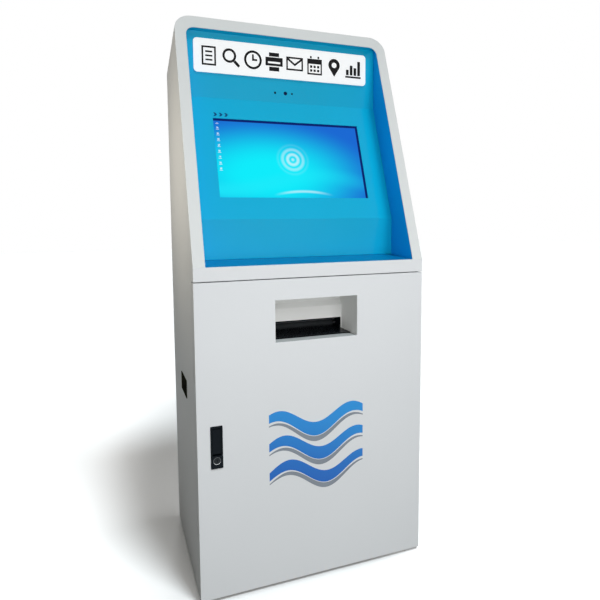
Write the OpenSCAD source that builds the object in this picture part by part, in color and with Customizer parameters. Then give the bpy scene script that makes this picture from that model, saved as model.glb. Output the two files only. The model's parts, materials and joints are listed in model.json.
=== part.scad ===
// Free-standing self-service kiosk: a sheet-metal cabinet with a leaning head,
// a display sunk in a blue recess, a hinged front door with a paper outlet and
// a flush lock, and a roll printer, a computer and a fan inside.
// Design frame of the modules: x to the right, y back from the front of the
// door, z up from the underside of the cabinet. Sizes are in millimetres.

/* [Cabinet] */
// Width over the two side panels
body_w = 600; // [560:1:680]
// Depth from the front of the door to the back
body_d = 405; // [395:1:480]
// Thickness of the cabinet's steel sheet
sheet = 2; // [1.5:0.1:2.4]
// Height of the rubber feet
foot_h = 5; // [4.5:0.5:12]
// Radius of a foot
foot_r = 20; // [14:1:26]
// Distance of a foot's centre from the outer faces
foot_in = 55; // [45:1:70]
// Width of the flange that the rear panel is screwed to
rear_flange = 20; // [16:1:26]
// Radius of the stud that holds a foot
stud_r = 4; // [3:0.1:5]
// Height of a foot's stud above the underside of the cabinet
stud_h = 6; // [5:0.5:8]

/* [Door] */
// Height of the door's lower edge above the underside of the cabinet
door_bottom = 4; // [3:0.5:6]
// Height of the door's upper edge
door_top = 769; // [755:1:800]
// Depth of the door pan
door_t = 25; // [23:0.5:28]
// Gap between the back of the door and the door frame
door_gap = 3.5; // [3.2:0.1:5]
// Gap between the door and the head above it
head_gap = 2.5; // [2:0.1:4]
// Width of a door jamb's front flange
jamb_w = 28; // [24:1:32]
// Depth of a door jamb's side flange
jamb_d = 25; // [18:1:32]
// Height of the sill behind the door's lower edge
sill_h = 32; // [24:1:40]
// Distance of the door's pivot from the right-hand face
pivot_in = 9; // [8:0.1:9]
// Radius of the two pivot pins
pin_r = 4; // [3:0.1:4.4]
// Thickness of the two hinge plates
hinge_t = 3; // [2.5:0.1:4]
// Height of the blocks that hold the pivot pins
block_h = 28; // [20:1:40]
// Reach of a pivot block to the left of its pin
block_reach = 14; // [10:0.5:18]
// Reach of a hinge plate to the left of its bore
hinge_reach = 30; // [20:1:40]
// Reach of a hinge plate behind its bore
hinge_back = 46; // [40:1:52]
// Radius of the nylon washer under the door
washer_r = 8; // [6:0.1:8.5]
// Height of the door header's rear flange
header_h = 22.5; // [16:0.5:24]
// Distance of a door stiffener from the middle
stiff_x = 185; // [165:1:200]
// Width of a door stiffener
stiff_w = 36; // [28:1:44]
// Depth of a door stiffener
stiff_d = 16; // [12:1:18]

/* [Head] */
// Height of the upright lip under the leaning face
lip_h = 32.5; // [28:0.5:40]
// Lean of the face from upright, in degrees
face_lean = 19.5; // [18:0.1:21]
// Length of the leaning face, from the lip to the top
face_len = 668; // [655:1:700]
// Width of the bezel's side rails
side_rail = 28.5; // [24:0.5:34]
// Width of the bezel's top rail
top_rail = 33; // [28:0.5:40]
// Radius of the head's two top corners
corner_r = 44; // [36:1:55]
// Radius of the two top corners of the bezel's opening
opening_r = 22; // [12:1:28]

/* [Recess] */
// Distance of the fascia's upright foot behind the front of the door
apron_y = 111.5; // [100:0.5:120]
// Height of the fascia's upright foot above the lip
apron_h = 108; // [98:1:116]
// Height that the leaning part of the fascia spans
screen_rise = 319; // [300:1:326]
// Rise of the recess floor from front to back
floor_rise = 7; // [3:0.5:10]
// Length of the floor and the cheeks behind the fascia
recess_tail = 8; // [5:1:12]

/* [Display] */
// Width of the cut-out for the display
screen_w = 416; // [390:1:430]
// Height of the cut-out for the display
screen_h = 221; // [200:1:240]
// Lap of the touch glass behind the cut-out's edge
glass_lap = 12; // [8:1:16]
// Thickness of the touch glass
glass_t = 3; // [2:0.5:5]
// Thickness of the display panel
panel_t = 14; // [10:1:20]
// Inner depth of the monitor housing
housing_d = 44; // [36:1:56]
// Wall of the monitor housing
housing_wall = 2; // [1.5:0.1:3]
// Width of the monitor bracket's flange on the fascia
bracket_w = 20; // [14:1:24]

/* [Title plate] */
// Width of the title plate
title_w = 496; // [460:1:510]
// Height of the title plate
title_h = 86; // [76:1:96]
// Height of the title plate's middle above the fascia's upper bend
title_up = 107; // [102:1:110]
// Sideways place of the title plate's middle
title_x = -4; // [-8:1:8]
// Thickness of the title plate
title_t = 3; // [2:0.5:4]
// Corner radius of the title plate
title_r = 10; // [4:1:14]

/* [Camera] */
// Height of the camera above the fascia's upper bend
eye_up = 26; // [20:1:32]
// Sideways place of the camera lens
eye_x = -1; // [-20:1:20]
// Radius of the camera lens hole
eye_r = 5; // [4:0.25:6]
// Sideways distance from the lens to the microphone hole
mic_off = -30; // [-34:1:-24]
// Radius of the microphone hole
mic_r = 3; // [2:0.25:3.5]
// Sideways distance from the lens to the lamp hole
lamp_off = 19; // [14:1:24]
// Radius of the lamp hole
lamp_r = 2.5; // [1.5:0.25:3]
// Depth of the camera body
eye_d = 12; // [9:1:16]
// Margin of the camera body around its holes
eye_margin = 9; // [7:0.5:12]
// Setback of the lens in its hole
lens_in = 0.5; // [0.2:0.1:1]

/* [Paper outlet] */
// Gap between the paper's edges and the outlet's side walls
outlet_side = 3.5; // [2:0.5:6]
// Height of the paper outlet
outlet_h = 103; // [96:1:110]
// Sideways place of the outlet's middle
outlet_x = 1.5; // [-5:0.5:5]
// Height of the outlet's lower edge
outlet_z = 615.5; // [605:0.5:625]
// Depth of the outlet down to its back
outlet_d = 95; // [85:1:100]
// Height of the bend in the outlet's back
outlet_bend = 65; // [58:1:70]
// Setback of the back above that bend
outlet_step = 12; // [8:1:16]
// Width of the flange that holds the outlet to the door
outlet_flange = 12; // [8:1:16]
// Height of the paper slot in the outlet's back
slot_h = 31; // [27:1:36]
// Margin at each end of the paper slot
slot_in = 3; // [2:0.5:5]
// Distance of the black tray behind the front of the door
tray_front = 32; // [26:1:40]
// Thickness of the black tray
tray_t = 2.5; // [2:0.1:3.5]
// Length of the black tunnel behind the outlet's back
throat = 32; // [22:1:40]

/* [Lock] */
// Width of the lock's face plate
lock_w = 29; // [27:0.5:32]
// Height of the lock's face plate
lock_h = 103; // [100:1:112]
// Distance of the lock's middle from the left-hand face
lock_in = 45.5; // [44:0.5:50]
// Height of the face plate's lower edge
lock_z = 328; // [310:1:345]
// How far the face plate stands proud of the door
lock_proud = 2; // [1.5:0.1:2]
// Depth of the lock's tub behind the front of the door
tub_d = 18; // [16:0.5:20]
// Rim of the face plate around the tub
tub_rim = 2; // [1.5:0.1:2.5]
// Corner radius of the face plate
lock_corner = 2; // [1:0.5:4]
// Width of the clamp plate's rim around the tub
clamp_rim = 9; // [6:0.5:10]
// Width of the pull handle
handle_w = 20; // [17:0.5:21]
// Length of the pull handle
handle_len = 61; // [54:1:63]
// Radius of the pull handle's hinged end
handle_end = 6; // [5:0.1:6.5]
// Thickness of the pull handle
handle_t = 7; // [5.5:0.1:8]
// Distance of the pull handle's upper end below the face plate's edge
handle_in = 6; // [5:0.5:7]
// Radius of the pull handle's pin
handle_pin_r = 1.5; // [1:0.1:2]
// Finger gap under the pull handle
finger_gap = 5; // [3:0.5:6]
// Height of the push button's middle above the face plate's lower edge
button_up = 19; // [17:0.5:19.5]
// Radius of the push button
button_r = 9; // [8:0.1:9.2]
// Travel of the push button
button_travel = 3; // [2:0.5:4]
// How far the push button stands proud of the face plate
button_proud = 0; // [0:0.1:0.3]
// Radius of the key cylinder
key_r = 6; // [5:0.1:6.5]
// Width of the key slot
key_slot = 1.4; // [1:0.1:2]
// Height of the key slot
key_slot_h = 7.8; // [6:0.2:9]
// Depth of the key slot
key_slot_d = 6; // [4:0.5:10]
// Radius of the key cylinder's tail
tail_r = 4; // [3:0.1:4.5]
// Length of the cam from its axis to its rounded end's middle
cam_len = 27; // [24:1:30]
// Half width of the cam
cam_r = 7; // [6:0.5:8]
// Thickness of the cam
cam_t = 2.5; // [2:0.1:3]
// Radius of the cam around the cylinder's tail
cam_boss = 8; // [6.5:0.5:9]
// How far the cylinder's tail stands out behind the cam
tail_out = 2; // [1:0.5:4]
// Gap between the door frame and the cam behind it
cam_gap = 1.5; // [1:0.1:2.5]

/* [Side grips] */
// Length of a side grip's flange
grip_w = 97; // [90:1:110]
// Height of a side grip's flange
grip_h = 48; // [44:1:56]
// Distance of a side grip behind the front of the door
grip_y = 151; // [140:1:170]
// Height of a side grip's lower edge
grip_z = 452; // [440:1:460]
// Thickness of a side grip's flange
grip_proud = 1.5; // [1:0.1:2]
// Depth of a side grip's cup
grip_d = 24; // [20:1:30]
// Wall of a side grip's cup
grip_wall = 2; // [1.5:0.1:2.5]
// Width of a side grip's flange around its cup
grip_rim = 4; // [3:0.5:5]
// Depth of the lip that the fingers hook behind
grip_lip = 9; // [6:1:12]

/* [Printer] */
// Height of the printer shelf's upper face
shelf_z = 520; // [515:1:530]
// Distance of the shelf behind the front of the door
shelf_y = 60; // [50:1:80]
// Height of the shelf's front and rear flanges
shelf_flange = 24; // [18:1:30]
// Width of the brackets under the shelf
ledge_w = 26; // [20:1:32]
// Gap between the paper's edges and the printer's side plates
paper_side = 11; // [8:0.5:17]
// Depth of the printer
printer_d = 150; // [144:1:165]
// Height of the printer's side plates
printer_h = 168; // [158:1:180]
// Thickness of the printer's plates
plate_t = 3; // [2.5:0.1:4]
// Gap between the outlet's tunnel and the printer
printer_gap = 3; // [2:0.5:6]
// Width of the paper
paper_w = 210; // [204:1:212]
// Radius of the platen roller
platen_r = 10; // [8:0.5:12]
// Radius of the platen roller's shaft
platen_shaft = 4; // [3:0.1:4.5]
// Distance of the platen roller behind the printer's front
platen_in = 22; // [18:1:26]
// How far the platen roller reaches past the paper's edges
platen_over = 2; // [1:0.5:4]
// Radius of the paper roll
roll_r = 42; // [32:1:44]
// Radius of the paper roll's core
core_r = 13; // [11:0.5:15]
// Radius of the roll's spindle
spindle_r = 6; // [5:0.1:7]
// Length of the spindle's two hubs
hub_l = 35; // [20:1:60]
// Distance of the roll's axis from the printer's back
roll_in = 52; // [46:1:54]
// Gap under the paper roll
roll_gap = 6; // [4:0.5:9]
// Paper gap between the platen roller and the print head
nip_gap = 0.35; // [0.3:0.05:0.6]
// Height of the print head
head_h = 26; // [18:1:30]
// Depth of the print head
head_d = 34; // [24:1:36]
// How far the print head reaches in front of the platen's axis
head_front = 11; // [8:0.5:14]
// Side of the feed motor
motor_s = 42; // [36:1:46]
// Length of the feed motor
motor_l = 34; // [28:1:44]
// Depth of the bore in the motor
motor_bore = 17; // [12:1:22]

/* [Computer] */
// Width of the computer
pc_w = 300; // [260:1:320]
// Depth of the computer
pc_d = 230; // [200:1:250]
// Height of the computer
pc_h = 84; // [70:1:100]
// Sideways place of the computer's middle
pc_x = 55; // [45:1:65]
// Distance of the computer behind the front of the door
pc_y = 118; // [112:1:125]
// Thickness of the computer's sheet
pc_t = 1.5; // [1:0.1:2]
// Radius of the computer's button
pc_button_r = 6; // [5:0.1:7]
// Travel of the computer's button
pc_travel = 2; // [1.5:0.1:3]
// Height of the button above the computer's underside
pc_button_up = 52; // [44:1:58]
// Distance of the button from the computer's right-hand side
pc_button_in = 30; // [20:1:50]
// How far the pressed button stands out
pc_button_out = 1; // [0.5:0.1:2]
// Reach of the button behind the computer's front sheet
pc_button_tail = 6; // [5:0.5:9]
// Width of the button's collar
collar_w = 2; // [1.5:0.1:3]
// Thickness of the button's collar
collar_t = 2.8; // [2:0.1:4]
// Width of the power supply
psu_w = 100; // [90:1:110]
// Depth of the power supply
psu_d = 160; // [140:1:180]
// Height of the power supply
psu_h = 45; // [38:1:55]
// Distance of the power supply's middle from the left-hand face
psu_in = 115; // [110:1:125]

/* [Back] */
// Height of the fan's middle
fan_z = 1150; // [1130:1:1180]
// Side of the fan's frame
fan_s = 120; // [110:1:124]
// Depth of the fan's frame
fan_d = 25; // [24:0.5:32]
// Radius of the fan's hub
fan_hub = 21; // [18:0.5:24]
// Radius of the fan's shaft
fan_shaft = 1.5; // [1.2:0.1:2]
// Wall between the fan's wheel and its frame at the nearest place
fan_wall = 2.5; // [2:0.1:3.5]
// Corner radius of the fan's frame
fan_corner = 4; // [2:0.5:6]
// Distance of the fan's screws from the edges of its frame
fan_screw_in = 7.5; // [7:0.1:8]
// Depth of the stator that carries the fan's wheel
stator_d = 10; // [8:0.5:11]
// Depth of the fan's struts
strut_d = 3; // [2:0.5:4]
// Width of the fan's struts
strut_w = 4; // [3:0.5:6]
// Gap around the fan's blades
fan_gap = 1.5; // [1:0.1:2.5]
// Number of fan blades
blades = 7; // [5:1:9]
// Thickness of a fan blade
blade_t = 2; // [1.5:0.1:2.5]
// Pitch of a fan blade, in degrees
blade_pitch = 40; // [30:1:45]
// Depth of a blade's root in the hub
blade_root = 3; // [2:0.5:5]
// Height of a vent slot
vent_h = 6; // [4:0.5:8]
// Spacing of the vent slots
vent_step = 13; // [12:0.5:16]
// Length of a vent slot
vent_w = 120; // [100:1:140]
// Number of slots in a vent bank
vents = 9; // [6:1:10]
// Number of slots behind the fan
fan_vents = 7; // [5:1:7]
// Height of the lowest vent slot
vent_z = 330; // [310:1:350]
// Sideways place of a vent bank's middle
vent_x = 125; // [110:1:140]
// Radius of a rear screw's head
screw_head = 4.5; // [4:0.1:5]
// Radius of a rear screw's shank
screw_r = 2; // [1.5:0.1:2.5]
// How far a rear screw reaches past the flange
screw_tail = 4; // [2:0.5:6]
// Number of rear screws on each side
side_screws = 5; // [3:1:7]
// Distance of the lowest and highest rear screws from the panel's ends
screw_in = 40; // [34:1:60]
// How far the rear fittings stand proud of the rear panel
rear_proud = 2; // [1.5:0.1:2]
// Width of the power inlet's flange
inlet_w = 62; // [60:1:70]
// Height of the power inlet's flange
inlet_h = 34; // [32:1:40]
// Distance of the power inlet's middle from the left-hand face
inlet_in = 100; // [85:1:110]
// Height of the power inlet's middle
inlet_z = 120; // [110:1:140]
// Depth of the power inlet's body behind the rear panel
inlet_d = 30; // [26:1:36]
// Rim of the power inlet's flange around its body
inlet_rim = 4; // [3:0.5:5]
// Corner radius of the power inlet's flange
inlet_corner = 3; // [1:0.5:5]
// Width of the power socket
socket_w = 25; // [24:0.5:26]
// Height of the power socket
socket_h = 17; // [16:0.5:18]
// Depth of the power socket
socket_d = 18; // [16:1:20]
// Distance of the socket from the end of the inlet's body
socket_in = 3; // [2:0.5:4]
// Thickness of a contact pin
contact_t = 2; // [1.5:0.1:2.5]
// Height of a contact pin
contact_h = 4; // [3:0.5:5]
// Width of the power switch's rocker
rocker_w = 12; // [10:0.5:13]
// Height of the power switch's rocker
rocker_h = 19; // [16:0.5:20]
// Thickness of the power switch's rocker
rocker_t = 6; // [5:0.1:7]
// Tilt of the rocker to each side, in degrees
rocker_tilt = 6; // [4:0.5:7]
// Radius of the rocker's pivot
rocker_pin = 1.5; // [1.2:0.1:2]
// Distance of the rocker from the end of the inlet's body
rocker_in = 4; // [3.5:0.5:5]
// How far the rocker's pivot reaches into the inlet's body
rocker_seat = 1.5; // [1:0.1:2]

/* [Fits] */
// Seat gap between pieces that are bolted or welded together
seat = 0.2; // [0.1:0.05:0.3]
// Radial clearance of a shaft or pin that turns
run = 0.05; // [0.02:0.01:0.09]
// Play around a piece that moves in a pocket
play = 0.5; // [0.4:0.05:0.7]

/* [Hidden] */
$fn = 64;

// Finishes
white_paint = "#dcdddb";
blue_paint = "#14a4d8";
black_plastic = "#16191b";
bare_steel = "#9a9ea2";
galvanised = "#b4b8ba";
rubber_black = "#1d1d1e";
dark_paint = "#3a3d41";
chrome_plate = "#b8bcc0";
lens_black = "#0c1014";
title_white = "#f2f2f0";
screen_blue = "#2a6f9a";
nylon = "#e8e6dc";
paper_white = "#f4f3ee";

// Lines of the cabinet
half_w = body_w / 2;
inner_w = half_w - sheet;
frame_y = door_t + door_gap;
head_z = door_top + head_gap;
bend_z = head_z + lip_h;
back_y = body_d - sheet;
cut = 1;
reach = body_d + bend_z + face_len;

// Points of the leaning head, w behind the face and v along it from the lip
function fy(w, v) = w * cos(face_lean) + v * sin(face_lean);
function fz(w, v) = bend_z - w * sin(face_lean) + v * cos(face_lean);
// Depth behind the face of the point with this y on the line v
function w_at(y, v) = (y - v * sin(face_lean)) / cos(face_lean);
// Setback of a bend between an upright and a leaning sheet
function bend_back(t) = t * tan(face_lean / 2);
// Setback of a bend of 45 degrees
function bend_back_45(t) = t * tan(45 / 2);

shoulder_v = face_len - corner_r;
side_back_z = fz(w_at(back_y, shoulder_v), shoulder_v);

// Lines of the recess
open_w = body_w - 2 * side_rail;
open_v = face_len - top_rail;
fascia_w = (apron_y - apron_h * tan(face_lean)) * cos(face_lean);
crease_lo = bend_z + apron_h;
crease_hi = crease_lo + screen_rise;
crease_lo_v = (apron_h + fascia_w * sin(face_lean)) / cos(face_lean);
crease_hi_v = (apron_h + screen_rise + fascia_w * sin(face_lean)) / cos(face_lean);
header_y = fy(fascia_w, crease_hi_v);
screen_v = (crease_lo_v + crease_hi_v) / 2;
floor_slope = floor_rise / (apron_y - sheet);
fascia_z = bend_z + floor_slope * (apron_y + sheet) + seat;

// Lines of the display, behind the leaning part of the fascia
glass_w = screen_w + 2 * glass_lap;
glass_h = screen_h + 2 * glass_lap;
display_w0 = fascia_w + sheet + seat;
housing_w = glass_w + 2 * seat + 2 * housing_wall;
housing_h = glass_h + 2 * seat + 2 * housing_wall;

// Lines of the door
door_h = door_top - door_bottom;
pivot_x = half_w - pivot_in;
pivot_y = door_t / 2;
chute_y = sheet + seat;
outlet_w = paper_w + 2 * outlet_side;
slot_w = outlet_w - 2 * slot_in;
throat_y = outlet_d + sheet + throat;
upper_hinge_z = head_z + sheet + seat;
lower_hinge_z = -seat - hinge_t;

// Lines of the lock
lock_x = lock_in - half_w;
lock_mid = lock_z + lock_h / 2;
tub_w = lock_w - 2 * tub_rim;
tub_h = lock_h - 2 * tub_rim;
handle_top = lock_z + lock_h - handle_in;
handle_pin_z = handle_top - handle_end;
handle_y = play - lock_proud;
handle_pin_y = handle_y + handle_end;
pocket_d = max(handle_pin_y + handle_end, handle_y + handle_t) + play;
button_z = lock_z + button_up;
button_y = -lock_proud - button_proud;
cam_y = frame_y + sheet + cam_gap;

// Lines of the printer
printer_y = throat_y + printer_gap;
printer_z = shelf_z + plate_t;
nip_z = outlet_z + slot_h / 2;
platen_y = printer_y + platen_in;
platen_z = nip_z - platen_r;
roll_y = printer_y + printer_d - roll_in;
roll_z = printer_z + roll_r + roll_gap;
cover_z = shelf_z + printer_h;
plate_x = paper_w / 2 + paper_side;

// Lines of the computer
pc_z = sheet + seat;
psu_x = psu_in - half_w;
pc_button_x = pc_x + pc_w / 2 - pc_button_in;
pc_button_z = pc_z + pc_button_up;

// Lines of the back
inlet_x = inlet_in - half_w;
inlet_y = body_d + rear_proud;
inlet_body_w = inlet_w - 2 * inlet_rim;
inlet_body_h = inlet_h - 2 * inlet_rim;
socket_x = socket_in - inlet_body_w / 2 + socket_w / 2;
rocker_x = inlet_body_w / 2 - rocker_in - rocker_w / 2;
rocker_y = body_d - rocker_t / 2;
fan_y = back_y - seat - fan_d;
fan_r = fan_s / 2 - fan_wall;
blade_r = fan_r - fan_gap;
fan_screw = fan_s / 2 - fan_screw_in;
rear_screw_x = half_w - rear_flange / 2;
screw_step = (side_back_z - 2 * screw_in) / (side_screws - 1);
rear_screw_z = [for (i = [0 : side_screws - 1]) screw_in + i * screw_step];

// Moves the design frame onto the part's origin, under the middle of the cabinet
module in_frame() translate([0, -body_d / 2, foot_h]) children();
// Lays the leaning face's frame: y is depth behind the face, z runs up along it
module on_face() translate([0, 0, bend_z]) rotate([-face_lean, 0, 0]) children();
// Extrudes an outline drawn in y and z along x
module along_x(x0, t) translate([x0, 0, 0]) rotate([90, 0, 90]) linear_extrude(t) children();
// Extrudes an outline drawn in x and z along y
module along_y(y0, t) translate([0, y0 + t, 0]) rotate([90, 0, 0]) linear_extrude(t) children();
// Round bar along x
module bar_x(x0, x1, r) translate([x0, 0, 0]) rotate([0, 90, 0]) cylinder(h = x1 - x0, r = r);
// Round bar along y
module bar_y(y0, y1, r) translate([0, y0, 0]) rotate([-90, 0, 0]) cylinder(h = y1 - y0, r = r);
// Box between two corners
module box(lo, hi) translate(lo) cube(hi - lo);
// Rectangle about the origin
module rect(w, h) translate([-w / 2, -h / 2]) square([w, h]);

// Rectangle about the origin with round corners
module round_rect(w, h, r) {
    rect(w - 2 * r, h);
    rect(w, h - 2 * r);
    for (x = [-1, 1], y = [-1, 1]) translate([x * (w / 2 - r), y * (h / 2 - r)]) circle(r);
}

// Plate that stands on the x axis, with two round top corners
module arch(w, h, r) {
    translate([-w / 2, 0]) square([w, h - r]);
    translate([r - w / 2, 0]) square([w - 2 * r, h]);
    for (x = [-1, 1]) translate([x * (w / 2 - r), h - r]) circle(r);
}

// Slot with round ends about the origin
module slot(w, h) {
    rect(w - h, h);
    for (x = [-1, 1]) translate([x * (w - h) / 2, 0]) circle(h / 2);
}

// Solid whose section across the head is its outline, set in by a wall
module head_prism(inset)
    on_face() along_y(-cut, reach) translate([0, -reach])
        arch(body_w - 2 * inset, reach + face_len - inset, corner_r - inset);

// Left-hand side panel: one sheet from the floor to the head, with a rear flange
module side_panel() {
    grip_cut_w = grip_w - 2 * grip_rim + 2 * seat;
    grip_cut_h = grip_h - 2 * grip_rim + 2 * seat;
    difference() {
        along_x(-half_w, sheet) polygon([
            [frame_y, 0], [frame_y, head_z], [sheet + seat, head_z],
            [sheet + seat, bend_z - bend_back(sheet + seat)],
            [fy(sheet + seat, shoulder_v), fz(sheet + seat, shoulder_v)],
            [back_y - seat, fz(w_at(back_y - seat, shoulder_v), shoulder_v)],
            [back_y - seat, 0]]);
        along_x(-half_w - cut, sheet + 2 * cut)
            translate([grip_y + grip_w / 2, grip_z + grip_h / 2]) rect(grip_cut_w, grip_cut_h);
    }
    difference() {
        box([-half_w, back_y - seat - sheet, sheet + seat],
            [rear_flange - half_w, back_y - seat, side_back_z - rear_flange]);
        for (z = rear_screw_z) translate([-rear_screw_x, 0, z])
            bar_y(back_y - sheet - cut, back_y + cut, screw_r + run);
    }
}

module left_side_panel() color(white_paint) in_frame() side_panel();
module right_side_panel() color(white_paint) in_frame() mirror([1, 0, 0]) side_panel();

// Roof with its two round corners, square to the leaning face
module head_cap() color(white_paint) in_frame()
    difference() {
        intersection() {
            difference() {
                head_prism(0);
                head_prism(sheet);
            }
            on_face() box([-body_w, sheet + seat, shoulder_v + seat], [body_w, body_d, face_len + cut]);
        }
        box([-body_w, back_y - seat, 0], [body_w, 2 * body_d, reach]);
    }

// Leaning frame around the recess, with the upright lip below it
module screen_bezel() color(white_paint) in_frame() {
    on_face() along_y(0, sheet) difference() {
        arch(body_w, face_len, corner_r);
        translate([0, -cut]) arch(open_w, open_v + cut, opening_r);
    }
    box([-half_w, 0, head_z], [half_w, sheet, bend_z]);
}

// Blue sheet with its upright foot, leaning display part, header and top flange
module blue_fascia() color(blue_paint) in_frame()
    difference() {
        along_x(seat - open_w / 2, open_w - 2 * seat) polygon([
            [apron_y, fascia_z], [apron_y, crease_lo], [header_y, crease_hi],
            [header_y, fz(w_at(header_y, open_v), open_v)],
            [fy(sheet + seat, open_v), fz(sheet + seat, open_v)],
            [fy(sheet + seat, open_v + sheet), fz(sheet + seat, open_v + sheet)],
            [header_y + sheet, fz(w_at(header_y + sheet, open_v + sheet), open_v + sheet)],
            [header_y + sheet, crease_hi - bend_back(sheet)],
            [apron_y + sheet, crease_lo - bend_back(sheet)], [apron_y + sheet, fascia_z]]);
        on_face() along_y(fascia_w - cut, sheet + 2 * cut)
            translate([0, screen_v]) rect(screen_w, screen_h);
        translate([eye_x, 0, crease_hi + eye_up]) {
            bar_y(header_y - cut, header_y + sheet + cut, eye_r);
            translate([mic_off, 0, 0]) bar_y(header_y - cut, header_y + sheet + cut, mic_r);
            translate([lamp_off, 0, 0]) bar_y(header_y - cut, header_y + sheet + cut, lamp_r);
        }
    }

// Side wall of the recess
module cheek() {
    tail_y = sheet + recess_tail;
    front_w = sheet + seat;
    along_x(open_w / 2, sheet) polygon([
        [front_w, bend_z - sheet], [front_w, bend_z - bend_back(front_w)],
        [fy(front_w, open_v + sheet), fz(front_w, open_v + sheet)],
        [header_y + tail_y, fz(w_at(header_y + tail_y, open_v + sheet), open_v + sheet)],
        [header_y + tail_y, crease_hi], [apron_y + tail_y, crease_lo],
        [apron_y + tail_y, bend_z - sheet]]);
}

module left_cheek() color(blue_paint) in_frame() mirror([1, 0, 0]) cheek();
module right_cheek() color(blue_paint) in_frame() cheek();

// Ledge at the foot of the recess, rising a little to the back
module recess_floor() color(blue_paint) in_frame() {
    floor_back = apron_y + sheet + recess_tail;
    floor_front = sheet + seat;
    along_x(seat - open_w / 2, open_w - 2 * seat) polygon([
        [floor_front, bend_z + floor_slope * floor_front],
        [floor_back, bend_z + floor_slope * floor_back],
        [floor_back, bend_z + floor_slope * floor_back - sheet],
        [floor_front, bend_z + floor_slope * floor_front - sheet]]);
}

module title_plate() color(title_white) in_frame()
    translate([title_x, 0, crease_hi + title_up])
        along_y(header_y - title_t, title_t) round_rect(title_w, title_h, title_r);

module touch_glass() color(screen_blue) in_frame() on_face()
    along_y(display_w0, glass_t) translate([0, screen_v]) rect(glass_w, glass_h);

module lcd_panel() color(dark_paint) in_frame() on_face()
    along_y(display_w0 + glass_t + seat, panel_t)
        translate([0, screen_v]) rect(glass_w - 2 * seat, glass_h - 2 * seat);

// Open-fronted box that holds the glass and the panel against the fascia
module monitor_housing() color(dark_paint) in_frame() on_face()
    difference() {
        along_y(display_w0, housing_d) translate([0, screen_v]) rect(housing_w, housing_h);
        along_y(display_w0 - cut, housing_d - housing_wall + cut) translate([0, screen_v])
            rect(glass_w + 2 * seat, glass_h + 2 * seat);
    }

// Angles that hold the monitor housing to the back of the fascia
module monitor_brackets() color(galvanised) in_frame() on_face()
    for (s = [0, 1]) mirror([s, 0, 0]) {
        x0 = housing_w / 2 + seat;
        z0 = screen_v - housing_h / 2;
        box([x0, display_w0, z0], [x0 + bracket_w, display_w0 + sheet, z0 + housing_h]);
        box([x0, display_w0, z0], [x0 + sheet, display_w0 + housing_d, z0 + housing_h]);
    }

// Camera board's casing behind the header
module webcam_body() color(black_plastic) in_frame() {
    y0 = header_y + sheet + seat;
    box([eye_x + mic_off - eye_margin, y0, crease_hi + eye_up - eye_margin],
        [eye_x + lamp_off + eye_margin, y0 + eye_d, crease_hi + eye_up + eye_margin]);
}

module webcam_lens() color(lens_black) in_frame()
    translate([eye_x, 0, crease_hi + eye_up])
        bar_y(header_y + lens_in, header_y + sheet + seat, eye_r - seat);

// Places each rear screw, with the children drawn at the rear face
module at_rear_screws() {
    for (s = [-1, 1], z = rear_screw_z) translate([s * rear_screw_x, 0, z]) children();
    for (sx = [-1, 1], sz = [-1, 1])
        translate([sx * fan_screw, 0, fan_z + sz * fan_screw]) children();
}

// Back wall with the fan's slots, two vent banks and the cut-out of the power inlet
module rear_panel() color(white_paint) in_frame()
    difference() {
        intersection() {
            head_prism(0);
            box([-half_w, back_y, 0], [half_w, body_d, reach]);
        }
        along_y(back_y - cut, sheet + 2 * cut) {
            for (s = [-1, 1], i = [0 : vents - 1])
                translate([s * vent_x, vent_z + i * vent_step]) slot(vent_w, vent_h);
            for (i = [0 : fan_vents - 1]) {
                up = (i - (fan_vents - 1) / 2) * vent_step;
                translate([0, fan_z + up]) slot(2 * sqrt(pow(blade_r, 2) - pow(up, 2)), vent_h);
            }
            translate([inlet_x, inlet_z]) rect(inlet_body_w + 2 * seat, inlet_body_h + 2 * seat);
        }
        at_rear_screws() bar_y(back_y - cut, body_d + cut, screw_r + run);
    }

// Round-headed screws of the rear panel and the fan
module rear_screws() color(bare_steel) in_frame() at_rear_screws() {
    bar_y(body_d, body_d + rear_proud, screw_head);
    bar_y(back_y - sheet - seat - screw_tail, body_d + cut, screw_r);
}

// Floor of the cabinet, with the holes of the feet's studs
module base_plate() color(galvanised) in_frame()
    difference() {
        box([seat - inner_w, frame_y, 0], [inner_w - seat, back_y - seat, sheet]);
        at_feet() translate([0, 0, -cut]) cylinder(h = sheet + 2 * cut, r = stud_r + run);
    }

// Places each foot
module at_feet()
    for (x = [foot_in - half_w, half_w - foot_in], y = [frame_y + foot_in, body_d - foot_in])
        translate([x, y, 0]) children();

// Round rubber feet, each with a stud through the base plate
module feet() color(rubber_black) in_frame() at_feet() {
    translate([0, 0, -foot_h]) cylinder(h = foot_h, r = foot_r);
    cylinder(h = stud_h, r = stud_r);
}

// Angle that the door closes against
module jamb() {
    z0 = sheet + seat;
    z1 = head_z - seat;
    box([seat - inner_w, frame_y, z0], [jamb_w - half_w, frame_y + sheet, z1]);
    box([seat - inner_w, frame_y, z0], [seat + sheet - inner_w, frame_y + jamb_d, z1]);
}

module left_jamb() color(white_paint) in_frame() jamb();
module right_jamb() color(white_paint) in_frame() mirror([1, 0, 0]) jamb();

// Cross member under the head, which carries the upper hinge
module door_header() color(white_paint) in_frame() {
    header_d = pivot_y + hinge_back + sheet;
    difference() {
        box([seat - inner_w, sheet + seat, head_z], [inner_w - seat, header_d, head_z + sheet]);
        translate([pivot_x, pivot_y, head_z - cut]) cylinder(h = sheet + 2 * cut, r = pin_r + play);
    }
    box([seat - inner_w, header_d - sheet, head_z], [inner_w - seat, header_d, head_z + header_h]);
}

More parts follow.
